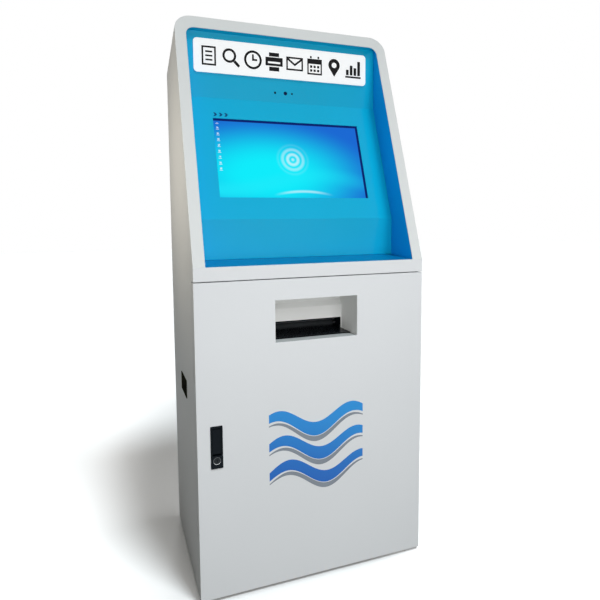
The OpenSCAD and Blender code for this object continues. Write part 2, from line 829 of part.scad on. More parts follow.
// Angle across the foot of the door opening
module door_sill() color(white_paint) in_frame() {
    x1 = half_w - jamb_w - seat;
    z0 = sheet + seat;
    box([-x1, frame_y, z0], [x1, frame_y + sheet, sill_h]);
    box([-x1, frame_y, z0], [x1, frame_y + jamb_d, z0 + sheet]);
}

// Steel plate with the bore of a pivot pin
module hinge_plate(z0, y0) difference() {
    box([pivot_x - hinge_reach, y0, z0], [inner_w - seat, pivot_y + hinge_back - seat, z0 + hinge_t]);
    translate([pivot_x, pivot_y, z0 - cut]) cylinder(h = hinge_t + 2 * cut, r = pin_r + run);
}

module upper_hinge_plate() color(bare_steel) in_frame() hinge_plate(upper_hinge_z, sheet + seat);
// The lower plate is coated like the cabinet and ends with the washer that it carries
module lower_hinge_plate() color(white_paint) in_frame() hinge_plate(lower_hinge_z, pivot_y - washer_r);

// Nylon ring that the door turns on
module pivot_washer() color(nylon) in_frame() translate([pivot_x, pivot_y, -seat])
    difference() {
        cylinder(h = door_bottom, r = washer_r);
        translate([0, 0, -cut]) cylinder(h = door_bottom + 2 * cut, r = pin_r + run);
    }

// Left-hand grip: a cup through the side panel with a lip to hook the fingers behind
module grip() {
    cup_w = grip_w - 2 * grip_rim;
    cup_h = grip_h - 2 * grip_rim;
    mouth_h = cup_h - 2 * grip_wall - grip_lip;
    translate([0, grip_y + grip_w / 2, grip_z + grip_h / 2]) difference() {
        union() {
            along_x(-half_w - grip_proud, grip_proud) round_rect(grip_w, grip_h, grip_rim);
            along_x(-half_w - grip_proud, grip_d + grip_proud) rect(cup_w, cup_h);
        }
        along_x(grip_wall - half_w - grip_proud, grip_d + grip_proud - 2 * grip_wall)
            rect(cup_w - 2 * grip_wall, cup_h - 2 * grip_wall);
        along_x(-half_w - grip_proud - cut, grip_d) translate([0, -grip_lip / 2])
            rect(cup_w - 2 * grip_wall, mouth_h);
    }
}

module left_grip() color(black_plastic) in_frame() grip();
module right_grip() color(black_plastic) in_frame() mirror([1, 0, 0]) grip();

// Sheet across the cabinet with a flange at its front and back
module printer_shelf() color(galvanised) in_frame() {
    x1 = inner_w - seat;
    y1 = back_y - 2 * seat - sheet;
    rim_x = inner_w - ledge_w - 2 * seat;
    box([-x1, shelf_y, shelf_z - sheet], [x1, y1, shelf_z]);
    for (y = [shelf_y, y1 - sheet])
        box([-rim_x, y, shelf_z - shelf_flange], [rim_x, y + sheet, shelf_z]);
}

// Angles on the side panels that carry the shelf
module shelf_brackets() color(galvanised) in_frame() for (s = [0, 1]) mirror([s, 0, 0]) {
    x1 = inner_w - seat;
    z1 = shelf_z - sheet - seat;
    y1 = back_y - 2 * seat - 2 * sheet;
    foot_z = grip_z + grip_h - grip_rim + 2 * seat;
    box([x1 - ledge_w, shelf_y, z1 - sheet], [x1, y1, z1]);
    box([x1 - sheet, shelf_y, foot_z], [x1, y1, z1]);
}

module printer_base() color(bare_steel) in_frame()
    box([-plate_x - plate_t, printer_y, shelf_z + seat],
        [plate_x + plate_t, printer_y + printer_d, printer_z]);

// Right-hand plate of the printer, with the bores of the platen and the spindle
module printer_plate() difference() {
    box([plate_x, printer_y, printer_z + seat],
        [plate_x + plate_t, printer_y + printer_d, cover_z]);
    translate([0, platen_y, platen_z])
        bar_x(plate_x - cut, plate_x + plate_t + cut, platen_shaft + run);
    translate([0, roll_y, roll_z]) bar_x(plate_x - cut, plate_x + plate_t + cut, spindle_r + run);
}

module printer_left_plate() color(bare_steel) in_frame() mirror([1, 0, 0]) printer_plate();
module printer_right_plate() color(bare_steel) in_frame() printer_plate();

// Folded cover over the printer
module printer_cover() color(dark_paint) in_frame() {
    x1 = plate_x + plate_t;
    y1 = printer_y + printer_d;
    box([-x1, printer_y, cover_z + seat], [x1, y1 + seat + sheet, cover_z + seat + sheet]);
    box([-x1, y1 + seat, shelf_z + seat], [x1, y1 + seat + sheet, cover_z + seat + sheet]);
}

// Thermal head above the platen roller, held between the side plates
module print_head() color(dark_paint) in_frame()
    box([seat - plate_x, platen_y - head_front, nip_z + nip_gap],
        [plate_x - seat, platen_y - head_front + head_d, nip_z + nip_gap + head_h]);

// Motor on the left plate, round the end of the platen's shaft
module feed_motor() color(dark_paint) in_frame() difference() {
    x1 = -plate_x - plate_t - seat;
    box([x1 - motor_l, platen_y - motor_s / 2, platen_z - motor_s / 2],
        [x1, platen_y + motor_s / 2, platen_z + motor_s / 2]);
    translate([0, platen_y, platen_z]) bar_x(x1 - motor_bore, x1 + cut, platen_shaft + run);
}

// Rubber roller on its steel shaft
module platen_roller() color(rubber_black) in_frame() translate([0, platen_y, platen_z]) {
    bar_x(-paper_w / 2 - platen_over, paper_w / 2 + platen_over, platen_r);
    bar_x(seat - plate_x - plate_t - motor_bore, plate_x + plate_t, platen_shaft);
}

// Roll of paper with a hollow core
module paper_roll() color(paper_white) in_frame() translate([0, roll_y, roll_z]) difference() {
    bar_x(-paper_w / 2, paper_w / 2, roll_r);
    bar_x(-paper_w / 2 - cut, paper_w / 2 + cut, core_r);
}

// Spindle with the two hubs that centre the roll
module roll_spindle() color(bare_steel) in_frame() translate([0, roll_y, roll_z]) {
    bar_x(-plate_x - plate_t, plate_x + plate_t, spindle_r);
    for (s = [0, 1]) mirror([s, 0, 0]) bar_x(paper_w / 2 - hub_l, paper_w / 2, core_r - run);
}

// Floor, front and back of the computer's case
module computer_tray() color(dark_paint) in_frame() difference() {
    union() {
        box([pc_x - pc_w / 2, pc_y, pc_z], [pc_x + pc_w / 2, pc_y + pc_d, pc_z + pc_t]);
        for (y = [pc_y, pc_y + pc_d - pc_t])
            box([pc_x - pc_w / 2, y, pc_z], [pc_x + pc_w / 2, y + pc_t, pc_z + pc_h]);
    }
    translate([pc_button_x, 0, pc_button_z]) bar_y(pc_y - cut, pc_y + pc_t + cut, pc_button_r + run);
}

// Top and sides of the computer's case
module computer_lid() color(dark_paint) in_frame() {
    x1 = pc_w / 2 + seat + pc_t;
    z1 = pc_z + pc_h + seat;
    translate([pc_x, 0, 0]) {
        box([-x1, pc_y, z1], [x1, pc_y + pc_d, z1 + pc_t]);
        for (s = [0, 1]) mirror([s, 0, 0])
            box([pc_w / 2 + seat, pc_y, pc_z], [x1, pc_y + pc_d, z1 + pc_t]);
    }
}

// Button with a collar behind the computer's front
module computer_button() color(chrome_plate) in_frame() translate([pc_button_x, 0, pc_button_z]) {
    collar_y = pc_y + pc_t + seat;
    bar_y(pc_y - pc_travel - pc_button_out, pc_y + pc_t + pc_button_tail, pc_button_r);
    bar_y(collar_y, collar_y + collar_t, pc_button_r + collar_w);
}

// Closed metal box on the base plate
module power_supply() color(galvanised) in_frame()
    box([psu_x - psu_w / 2, pc_y, pc_z], [psu_x + psu_w / 2, pc_y + psu_d, pc_z + psu_h]);

// Mains socket and switch housing in the rear panel, with the three contact pins
module power_inlet() color(black_plastic) in_frame() translate([inlet_x, 0, inlet_z]) {
    difference() {
        union() {
            along_y(body_d, rear_proud) round_rect(inlet_w, inlet_h, inlet_corner);
            along_y(back_y - inlet_d, inlet_d + sheet + rear_proud) rect(inlet_body_w, inlet_body_h);
        }
        along_y(inlet_y - socket_d, socket_d + cut) translate([socket_x, 0])
            rect(socket_w, socket_h);
        along_y(rocker_y - rocker_t, rocker_t + inlet_y) translate([rocker_x, 0])
            rect(rocker_w + 2 * play, rocker_h + 2 * play + rocker_pin);
        translate([rocker_x, rocker_y, 0])
            bar_x(-rocker_w / 2 - rocker_seat - play, rocker_w / 2 + rocker_seat + play, rocker_pin + run);
    }
    for (i = [-1, 0, 1]) translate([socket_x + i * socket_w / 4, 0, (1 - abs(i)) * socket_h / 6])
        box([-contact_t / 2, inlet_y - socket_d - cut, -contact_h / 2],
            [contact_t / 2, inlet_y - socket_d / 3, contact_h / 2]);
}

// Rocker, stored pressed to one side
module power_rocker() color(black_plastic) in_frame()
    translate([inlet_x + rocker_x, rocker_y, inlet_z]) {
        rotate([rocker_tilt, 0, 0])
            translate([-rocker_w / 2, -rocker_t / 2, -rocker_h / 2]) cube([rocker_w, rocker_t, rocker_h]);
        bar_x(-rocker_w / 2 - rocker_seat, rocker_w / 2 + rocker_seat, rocker_pin);
    }

// Square frame with the stator on four struts
module fan_frame() color(black_plastic) in_frame() translate([0, fan_y, fan_z]) {
    difference() {
        along_y(0, fan_d) round_rect(fan_s, fan_s, fan_corner);
        bar_y(-cut, fan_d + cut, fan_r);
        for (sx = [-1, 1], sz = [-1, 1]) translate([sx * fan_screw, 0, sz * fan_screw])
            bar_y(-cut, fan_d + cut, screw_r + run);
    }
    difference() {
        union() {
            bar_y(0, stator_d, fan_hub - 2 * play);
            for (a = [45, 135]) rotate([0, a, 0])
                box([-fan_r - cut, 0, -strut_w / 2], [fan_r + cut, strut_d, strut_w / 2]);
        }
        bar_y(-cut, fan_d, fan_shaft + run);
    }
}

// Hub, shaft and tilted blades
module fan_rotor() color(black_plastic) in_frame() translate([0, fan_y, fan_z]) {
    hub_y = stator_d + play;
    blade_y0 = strut_d + fan_gap;
    blade_y1 = fan_d - fan_gap;
    bar_y(hub_y, blade_y1, fan_hub);
    bar_y(seat, hub_y + cut, fan_shaft);
    intersection() {
        difference() {
            bar_y(blade_y0, blade_y1, blade_r);
            bar_y(blade_y0 - cut, hub_y, fan_hub);
        }
        for (i = [0 : blades - 1]) rotate([0, i * 360 / blades, 0])
            translate([fan_hub - blade_root, (blade_y0 + blade_y1) / 2, 0]) rotate([blade_pitch, 0, 0])
                box([0, -fan_d, -blade_t / 2], [blade_r, fan_d, blade_t / 2]);
    }
}

// Pan of the front door, with the holes of the outlet, the lock and the pivots
module door_skin() color(white_paint) in_frame() difference() {
    box([-half_w, 0, door_bottom], [half_w, door_t, door_top]);
    box([-inner_w, sheet, door_bottom + sheet], [inner_w, door_t + cut, door_top - sheet]);
    along_y(-cut, sheet + 2 * cut) {
        translate([outlet_x - outlet_w / 2, outlet_z]) square([outlet_w, outlet_h]);
        translate([lock_x, lock_mid]) rect(tub_w + 2 * seat, tub_h + 2 * seat);
    }
    translate([pivot_x, pivot_y, door_bottom - cut]) cylinder(h = door_h + 2 * cut, r = pin_r + run);
}

// Two upright channels inside the door
module door_stiffeners() color(galvanised) in_frame()
    for (s = [-1, 1]) translate([s * stiff_x, 0, 0]) stiffener();

// Upright channel, open to the door's front sheet
module stiffener() {
    z0 = door_bottom + sheet + seat;
    z1 = door_top - sheet - seat;
    y0 = sheet + seat;
    difference() {
        box([-stiff_w / 2, y0, z0], [stiff_w / 2, y0 + stiff_d, z1]);
        box([sheet - stiff_w / 2, y0 - cut, z0 - cut],
            [stiff_w / 2 - sheet, y0 + stiff_d - sheet, z1 + cut]);
    }
}

// White box behind the outlet, with a bent back and the paper slot
module outlet_chute() color(white_paint) in_frame() translate([outlet_x, 0, outlet_z]) {
    bevel = bend_back_45(sheet);
    back = outlet_d + sheet;
    difference() {
        union() {
            along_x(-outlet_w / 2 - sheet, outlet_w + 2 * sheet) polygon([
                [chute_y, -sheet], [back, -sheet], [back, outlet_bend - bevel],
                [back + outlet_step, outlet_bend + outlet_step - bevel],
                [back + outlet_step, outlet_h + sheet], [chute_y, outlet_h + sheet]]);
            along_y(chute_y, sheet) translate([0, outlet_h / 2])
                rect(outlet_w + 2 * outlet_flange, outlet_h + 2 * outlet_flange);
        }
        along_x(-outlet_w / 2, outlet_w) polygon([
            [0, 0], [outlet_d, 0], [outlet_d, outlet_bend],
            [outlet_d + outlet_step, outlet_bend + outlet_step],
            [outlet_d + outlet_step, outlet_h], [0, outlet_h]]);
        box([-slot_w / 2, outlet_d - cut, 0], [slot_w / 2, back + cut, slot_h]);
    }
}

// Black tray on the outlet's floor, and the tunnel through the slot behind it
module outlet_tray() color(black_plastic) in_frame() translate([outlet_x, 0, outlet_z]) {
    x1 = slot_w / 2 - seat;
    z1 = slot_h - seat;
    box([-x1, tray_front, seat], [x1, throat_y, seat + tray_t]);
    difference() {
        box([-x1, outlet_d, seat], [x1, throat_y, z1]);
        box([tray_t - x1, outlet_d - cut, seat + tray_t], [x1 - tray_t, throat_y + cut, z1 - tray_t]);
    }
}

// Pins that the door turns on, above and below
module pivot_pins() color(bare_steel) in_frame() translate([pivot_x, pivot_y, 0]) {
    tip = seat;
    translate([0, 0, lower_hinge_z + tip])
        cylinder(h = door_bottom + block_h - lower_hinge_z - tip, r = pin_r);
    translate([0, 0, door_top - block_h])
        cylinder(h = upper_hinge_z + hinge_t - tip - door_top + block_h, r = pin_r);
}

// Blocks in the corners of the door that hold the pins
module pivot_blocks() color(galvanised) in_frame() difference() {
    for (z = [door_bottom + sheet + seat, door_top - sheet - seat - block_h])
        box([pivot_x - block_reach, sheet + seat, z], [inner_w - seat, door_t - cut, z + block_h]);
    translate([pivot_x, pivot_y, 0]) cylinder(h = door_top, r = pin_r + run);
}

// Black tub with a face plate, the handle's pocket and the button's bore
module lock_housing() color(black_plastic) in_frame() translate([lock_x, 0, 0]) difference() {
    translate([0, 0, lock_mid]) {
        along_y(-lock_proud, lock_proud) round_rect(lock_w, lock_h, lock_corner);
        along_y(-lock_proud, lock_proud + tub_d) rect(tub_w, tub_h);
    }
    box([-handle_w / 2 - play, -lock_proud - cut, handle_top - handle_len - finger_gap],
        [handle_w / 2 + play, pocket_d, handle_top + play]);
    translate([0, 0, button_z]) bar_y(-lock_proud - cut, tub_d + cut, button_r + run);
    translate([0, handle_pin_y, handle_pin_z]) bar_x(-tub_w, tub_w, handle_pin_r + run);
}

// Plate that holds the lock from inside the door
module lock_clamp() color(galvanised) in_frame() translate([lock_x, 0, lock_mid])
    along_y(sheet + seat, sheet) difference() {
        rect(tub_w + 2 * clamp_rim, tub_h + 2 * clamp_rim);
        rect(tub_w + 2 * seat, tub_h + 2 * seat);
    }

module handle_pin() color(bare_steel) in_frame() translate([lock_x, handle_pin_y, handle_pin_z])
    bar_x(seat - tub_w / 2, tub_w / 2 - seat, handle_pin_r);

// Pull handle, hinged at its upper end
module lock_handle() color(black_plastic) in_frame() translate([lock_x, 0, 0]) difference() {
    union() {
        translate([0, handle_pin_y, handle_pin_z]) bar_x(-handle_w / 2, handle_w / 2, handle_end);
        box([-handle_w / 2, handle_y, handle_top - handle_len],
            [handle_w / 2, handle_y + handle_t, handle_pin_z]);
    }
    translate([0, handle_pin_y, handle_pin_z]) bar_x(-handle_w, handle_w, handle_pin_r + run);
}

// Round push button around the key cylinder
module lock_button() color(chrome_plate) in_frame() translate([lock_x, 0, button_z]) difference() {
    bar_y(button_y, tub_d - button_travel, button_r);
    bar_y(button_y - cut, tub_d + cut, key_r + run);
}

// Key cylinder with its slot and the tail that carries the cam
module key_cylinder() color(chrome_plate) in_frame() translate([lock_x, 0, button_z]) difference() {
    union() {
        bar_y(button_y, tub_d, key_r);
        bar_y(tub_d - cut, cam_y + cam_t + tail_out, tail_r);
    }
    box([-key_slot / 2, button_y - cut, -key_slot_h / 2],
        [key_slot / 2, button_y + key_slot_d, key_slot_h / 2]);
}

// Cam on the cylinder's tail, stored unlocked and pointing down
module lock_cam() color(bare_steel) in_frame() translate([lock_x, 0, button_z])
    along_y(cam_y, cam_t) difference() {
        union() {
            circle(cam_boss);
            translate([-cam_r, -cam_len]) square([2 * cam_r, cam_len]);
            translate([0, -cam_len]) circle(cam_r);
        }
        circle(tail_r + run);
    }

left_side_panel();
right_side_panel();
head_cap();
screen_bezel();
blue_fascia();
left_cheek();
right_cheek();
recess_floor();
title_plate();
touch_glass();
lcd_panel();
monitor_housing();
monitor_brackets();
webcam_body();
webcam_lens();
rear_panel();
rear_screws();
base_plate();
feet();
left_jamb();
right_jamb();
door_header();
door_sill();
upper_hinge_plate();
lower_hinge_plate();
pivot_washer();
left_grip();
right_grip();
printer_shelf();
shelf_brackets();
printer_base();
printer_left_plate();
printer_right_plate();
printer_cover();
print_head();
feed_motor();
computer_tray();
computer_lid();
power_supply();
power_inlet();
fan_frame();
door_skin();
door_stiffeners();
outlet_chute();
outlet_tray();
pivot_pins();
pivot_blocks();
lock_housing();
lock_clamp();
handle_pin();
lock_handle();
lock_button();
key_cylinder();
lock_cam();
fan_rotor();
power_rocker();
platen_roller();
paper_roll();
roll_spindle();
computer_button();
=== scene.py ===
"""Finishes, printed films and small fittings of a self-service kiosk, and the studio it stands in."""

import functools
import json
import math
from collections import namedtuple

import bmesh
import bpy
from bpy.props import FloatProperty, FloatVectorProperty, PointerProperty
from bpy.types import Operator, Panel, PropertyGroup
from mathutils import Matrix, Vector

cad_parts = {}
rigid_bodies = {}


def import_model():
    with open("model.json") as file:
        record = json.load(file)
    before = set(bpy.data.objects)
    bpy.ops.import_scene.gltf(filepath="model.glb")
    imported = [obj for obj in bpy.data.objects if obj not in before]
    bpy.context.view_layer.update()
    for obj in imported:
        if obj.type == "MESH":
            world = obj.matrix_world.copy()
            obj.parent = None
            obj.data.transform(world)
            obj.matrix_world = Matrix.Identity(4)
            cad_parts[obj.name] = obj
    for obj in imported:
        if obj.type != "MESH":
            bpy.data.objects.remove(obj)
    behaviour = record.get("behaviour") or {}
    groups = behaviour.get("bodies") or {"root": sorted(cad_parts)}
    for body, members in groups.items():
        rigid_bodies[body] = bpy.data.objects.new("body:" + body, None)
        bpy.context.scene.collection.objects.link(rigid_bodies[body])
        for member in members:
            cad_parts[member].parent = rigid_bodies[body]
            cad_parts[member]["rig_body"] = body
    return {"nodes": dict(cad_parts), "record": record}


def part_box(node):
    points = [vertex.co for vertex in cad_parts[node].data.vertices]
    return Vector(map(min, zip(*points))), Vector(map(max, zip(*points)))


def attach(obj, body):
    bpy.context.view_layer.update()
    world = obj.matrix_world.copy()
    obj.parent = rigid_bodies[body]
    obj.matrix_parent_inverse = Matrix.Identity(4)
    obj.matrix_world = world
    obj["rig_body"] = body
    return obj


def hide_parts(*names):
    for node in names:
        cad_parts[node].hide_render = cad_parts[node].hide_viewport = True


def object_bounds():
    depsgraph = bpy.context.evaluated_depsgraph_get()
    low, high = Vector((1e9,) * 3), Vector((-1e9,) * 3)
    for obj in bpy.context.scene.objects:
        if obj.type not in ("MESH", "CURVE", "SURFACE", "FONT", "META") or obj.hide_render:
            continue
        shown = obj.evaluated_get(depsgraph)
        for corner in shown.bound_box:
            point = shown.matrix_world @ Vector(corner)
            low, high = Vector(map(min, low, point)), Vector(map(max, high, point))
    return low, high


bl_info = {
    "name": "Self-service kiosk",
    "version": (1, 0, 0),
    "blender": (4, 5, 0),
    "location": "3D View > Sidebar > Kiosk",
    "description": "Dresses the pieces of a self-service kiosk and sets up its studio",
    "category": "Object",
}

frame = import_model()
CAD_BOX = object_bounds()
NODES = frame["nodes"]

# Vertices of a copied CAD mesh that are closer than this are one, in metres
SEAM = 1e-6
# Edges that turn by more than this are creases, in radians
CREASE = math.radians(15)
# Neighbouring faces that turn by less than this are one flat face, in radians
FLAT = math.radians(0.5)
# A face looks straight along an axis if more than this part of its normal lies along it
STRAIGHT = 0.99
RIGHT = Vector((1, 0, 0))
BACK = Vector((0, 1, 0))
UP = Vector((0, 0, 1))
WHITE = (1.0, 1.0, 1.0)


def number(name, description, default, **settings):
    """A number property."""
    return FloatProperty(name=name, description=description, default=default, **settings)


def length(name, description, metres):
    """A length property."""
    return number(name, description, metres, subtype="DISTANCE", unit="LENGTH", precision=5)


def angle(name, description, degrees):
    """An angle property that starts at a number of degrees."""
    return number(name, description, math.radians(degrees), subtype="ANGLE", unit="ROTATION")


def power(name, description, watts):
    """The power of a lamp."""
    return number(name, description, watts, subtype="POWER", unit="POWER")


def spot(name, description, *place):
    """A place in metres."""
    return FloatVectorProperty(
        name=name,
        description=description,
        default=place,
        subtype="TRANSLATION",
        unit="LENGTH",
        precision=4,
    )


def tint(name, description, *shade):
    """A colour property that starts at a scene colour."""
    return FloatVectorProperty(
        name=name, description=description, default=shade, subtype="COLOR", min=0, max=1
    )


def colour(name, description, *levels):
    """A colour property that starts at an 8-bit display colour."""
    return tint(name, description, *map(linear, levels))


def linear(level):
    """Scene level of an 8-bit display level."""
    share = level / 255
    return share / 12.92 if share <= 0.04045 else ((share + 0.055) / 1.055) ** 2.4


class KioskColours(PropertyGroup):
    """Colours of the finishes; a finish of one colour has that colour's name."""

    white_powder_coat: colour("White coat", "Powder coat of the cabinet", 229, 231, 234)
    # Painted shade: a darker copy of the white coat for the bezel's leaning faces, which the key light
    # from above lights more than upright faces
    bezel_powder_coat: colour("Bezel coat", "Powder coat of the screen bezel", 217, 219, 219)
    # Painted light: the paper outlet's white is lighter than the cabinet's to stand in for more light
    # inside the outlet
    outlet_white_coat: colour("Outlet coat", "Powder coat of the paper outlet", 246, 247, 246)
    # Painted shade: grey on the paper outlet's upward faces stands in for the shade that lies on them
    outlet_floor_coat: colour("Outlet floor", "Powder coat of the paper outlet's floor", 172, 176, 177)
    blue_gloss_coat: colour("Blue coat", "Gloss coat of the fascia", 5, 169, 209)
    # Painted light: the cheeks are the fascia's paint, made lighter and bluer to stand in for blue light
    # thrown back into their shade
    cheek_gloss_coat: colour("Cheek coat", "Gloss coat of the recess's cheeks", 10, 166, 242)
    # Painted shade: the recess's floor takes a darker copy of the fascia's blue
    sill_gloss_coat: colour("Sill coat", "Gloss coat of the recess's floor", 4, 122, 176)
    title_plate_white: colour("Title plate", "Plate above the display", 236, 236, 236)
    black_film: colour("Signs", "Film of the signs on the title plate", 10, 10, 12)
    arrow_film: colour("Arrowheads", "Film of the arrowheads over the display", 2, 62, 104)
    ribbon_light: colour("Ribbon, light", "Upper end of the door's ribbons", 34, 142, 216)
    ribbon_deep: colour("Ribbon, deep", "Lower end of the door's ribbons", 10, 96, 184)
    ribbon_grey: colour("Ribbon, grey", "Undersides of the door's ribbons", 128, 136, 146)
    black_moulding: colour("Black moulding", "Black moulded plastic", 13, 18, 23)
    # Painted reflection: the black grips are lightened to an olive grey in place of the soft reflection of
    # their surroundings
    grip_moulding: colour("Grip moulding", "Matt plastic of the side grips", 56, 56, 50)
    tray_moulding: tint("Tray moulding", "Plastic of the outlet's tray", 0.00282, 0.00423, 0.006)
    casing_grey: tint("Casing grey", "Casing of the display", 0.07, 0.075, 0.08)
    foot_rubber: tint("Foot rubber", "Rubber of the feet", 0.018, 0.018, 0.018)
    roller_rubber: tint("Roller rubber", "Ground rubber of the platen roller", 0.045, 0.05, 0.055)
    nylon: tint("Nylon", "Natural nylon of the pivot's washer", 0.78, 0.76, 0.7)
    brushed_steel: tint("Brushed steel", "Steel of pins, plates and screws", 0.56, 0.57, 0.58)
    bright_plate: tint("Bright plate", "Plating of the computer's button", 0.74, 0.75, 0.76)
    zinc_dull: tint("Zinc, dull", "Dull grains of the zinc-coated sheet", 0.5, 0.515, 0.53)
    zinc_bright: tint("Zinc, bright", "Bright grains of the zinc-coated sheet", 0.66, 0.67, 0.68)
    grit_dark: tint("Grit, dark", "Hollows of the textured coat", 0.05, 0.053, 0.057)
    grit_light: tint("Grit, light", "Tips of the textured coat", 0.1, 0.105, 0.11)
    paper_dark: tint("Paper, dark", "Gaps between the roll's layers", 0.74, 0.73, 0.69)
    paper_light: tint("Paper, light", "Paper of the roll", 0.9, 0.89, 0.86)
    lens_dark: tint("Lens", "Glass of the camera's lens", 0.002, 0.006, 0.03)
    lens_ring: tint("Lens ring", "Ring in the camera's lens", 0.004, 0.04, 0.2)
    button_black: tint("Button", "Face of the lock's button", 0.02, 0.023, 0.026)
    button_rim: tint("Button rim", "Rim of the lock's button", 0.1, 0.105, 0.11)
    # Painted highlight on the foot of the button's rim
    button_worn: tint("Button rim, painted highlight", "Painted highlight on the foot of the rim of the lock's button", 0.6, 0.61, 0.62)
    screen_glass: tint("Screen glass", "Touch glass over the picture", 0.002, 0.004, 0.008)
    picture_bright: colour("Picture, bright", "Glow of the lit display", 0, 238, 253)
    picture_deep: colour("Picture, deep", "Far corner of the lit display", 18, 104, 212)
    # Painted shade: dark margin standing in for the shaded top and right walls of the cut-out
    picture_edge: colour("Picture, edge", "Unlit margin of the display", 0, 26, 104)
    picture_swell: tint("Picture, swell", "Swell across the lit display", 0.01, 0.84, 0.98)
    picture_streak: tint("Picture, streak", "Arc at the lit display's foot", 0.75, 0.95, 1.0)
    picture_ripple: tint("Picture, ripple", "Rings in the lit display's middle", 0.8, 0.97, 1.0)
    picture_marks: tint("Picture, marks", "Small marks down the lit display", 0.86, 0.95, 1.0)


class KioskSizes(PropertyGroup):
    """Sizes of what the finishes add."""

    sheet_edge: length("Sheet edge", "Rounding of the sheet-metal edges", 0.0004)
    mould_edge: length("Moulding edge", "Rounding of the plastic edges", 0.0006)
    fine_edge: length("Fine edge", "Rounding of small fittings", 0.00025)
    glass_lap: length("Glass lap", "Lap of the touch glass behind the cut-out", 0.012)
    # Width of the painted shade of the cut-out's walls along the picture's top and right
    picture_margin: length("Picture margin", "Unlit margin at the cut-out's top and right", 0.0062)
    decal: length("Decal", "Thickness of the printed film", 0.0002)
    sign: length("Sign", "Height of a sign on the title plate", 0.050)
    arrow: length("Arrowhead", "Half height of the frame an arrowhead is drawn in", 0.0065)
    arrow_pitch: length("Arrowhead pitch", "Distance from arrowhead to arrowhead", 0.0145)
    arrow_start: length("Arrowhead start", "First arrowhead's way in from the cut-out's left", 0.007)
    arrow_rise: length("Arrowhead rise", "Height of the arrowheads over the cut-out", 0.011)
    fascia_rise: length("Fascia rise", "Distance of the fascia's face from the touch glass", 0.0022)
    emblem_width: length("Emblem width", "Width of the ribbons on the door", 0.253)
    emblem_height: length("Emblem height", "Height of the ribbons on the door", 0.229)
    emblem_low: length("Emblem low", "Height of the ribbons' lower end", 0.241)
    screw_head: length("Screw head", "Radius of a rear screw's head", 0.0045)
    socket_depth: length("Socket depth", "Depth of the mains socket", 0.018)
    shaft_reach: length("Shaft reach", "Faces nearer the platen's axis are its shaft", 0.0045)


class KioskStudio(PropertyGroup):
    """Camera and light."""

    eye: spot("Eye", "Place of the camera", -0.4737, -1.3894, 0.9248)
    yaw: angle("Yaw", "Turn of the camera to the right", 20.328)
    pitch: angle("Pitch", "Tilt of the camera upwards", -5.023)
    roll: angle("Roll", "Turn of the camera about its line of sight", -0.393)
    lens: number("Lens", "Focal length in millimetres", 31.49, unit="CAMERA")
    sensor: number("Sensor", "Width of the camera's sensor in millimetres", 36.0, unit="CAMERA")
    shift: FloatVectorProperty(name="Shift", description="Lens shift", size=2, default=(-0.006, -0.0636))
    key_side: angle("Key side", "Turn of the key light to the right of the front", 25)
    key_height: angle("Key height", "Height of the key light over the floor", 62)
    key_size: angle("Key size", "Apparent size of the key light", 14)
    key_strength: number("Key strength", "Irradiance of the key light", 1.7)
    key_tint: tint("Key tint", "Colour of the key light", 0.88, 0.96, 1.0)
    front_place: spot("Front lamp", "Place of the lamp before the front", 0.0, -1.6, 1.12)
    front_power: power("Front power", "Power of the lamp before the front", 16.7)
    front_size: length("Front size", "Width of the lamp before the front", 1.5)
    front_tint: tint("Front tint", "Colour of the lamp before the front", 0.99, 0.985, 0.98)
    side_place: spot("Side lamp", "Place of the lamp beside the head", -1.7, 0.0, 1.1)
    side_power: power("Side power", "Power of the lamp beside the head", 0.56)
    side_size: length("Side size", "Width of the lamp beside the head", 0.5)
    side_spread: angle("Side spread", "Width of the beam of the lamp beside the head", 34)
    side_tint: tint("Side tint", "Colour of the lamp beside the head", 1.0, 0.91, 0.74)
    back_place: spot("Back lamp", "Place of the lamp behind the back", 0.3, 3.6, 0.7)
    right_place: spot("Right lamp", "Place of the lamp on the right", 4.2, 0.0, 0.7)
    fill_power: power("Fill power", "Power of the lamps behind and on the right", 5.0)
    fill_size: length("Fill size", "Width of the lamps behind and on the right", 0.6)
    fill_spread: angle("Fill spread", "Width of the beams of the lamps behind and on the right", 42)
    room: number("Room light", "Strength of the light from all sides", 0.145)
    room_tint: tint("Room tint", "Colour of the light from all sides", 1.0, 0.985, 0.89)
    title_glow: number("Title glow", "Strength of the title plate's light", 0.24)
    picture_glow: number("Picture glow", "Strength of the display's light", 0.97)
    floor_reach: length("Floor reach", "Half width of the floor", 14.0)
    floor_glow: number("Floor glow", "Light that the floor adds for the eye", 0.45)
    floor_bounce: tint("Floor bounce", "Colour of the floor for light it throws back", 0.17, 0.17, 0.155)
    shade_glow: number("Shade glow", "Light that the floor adds where the shadow lies", 0.02)
    shade_place: spot("Shade", "Middle of the shadow on the floor", -0.05, 0.33, 0.0)
    shade_size: spot("Shade size", "Half sizes of the oval past which the glow is full", 0.57, 1.25, 1.0)


def colours():
    """The finishes' colours."""
    return bpy.context.scene.kiosk_colours


def sizes():
    """The added sizes."""
    return bpy.context.scene.kiosk_sizes


def studio():
    """The camera and light settings."""
    return bpy.context.scene.kiosk_studio


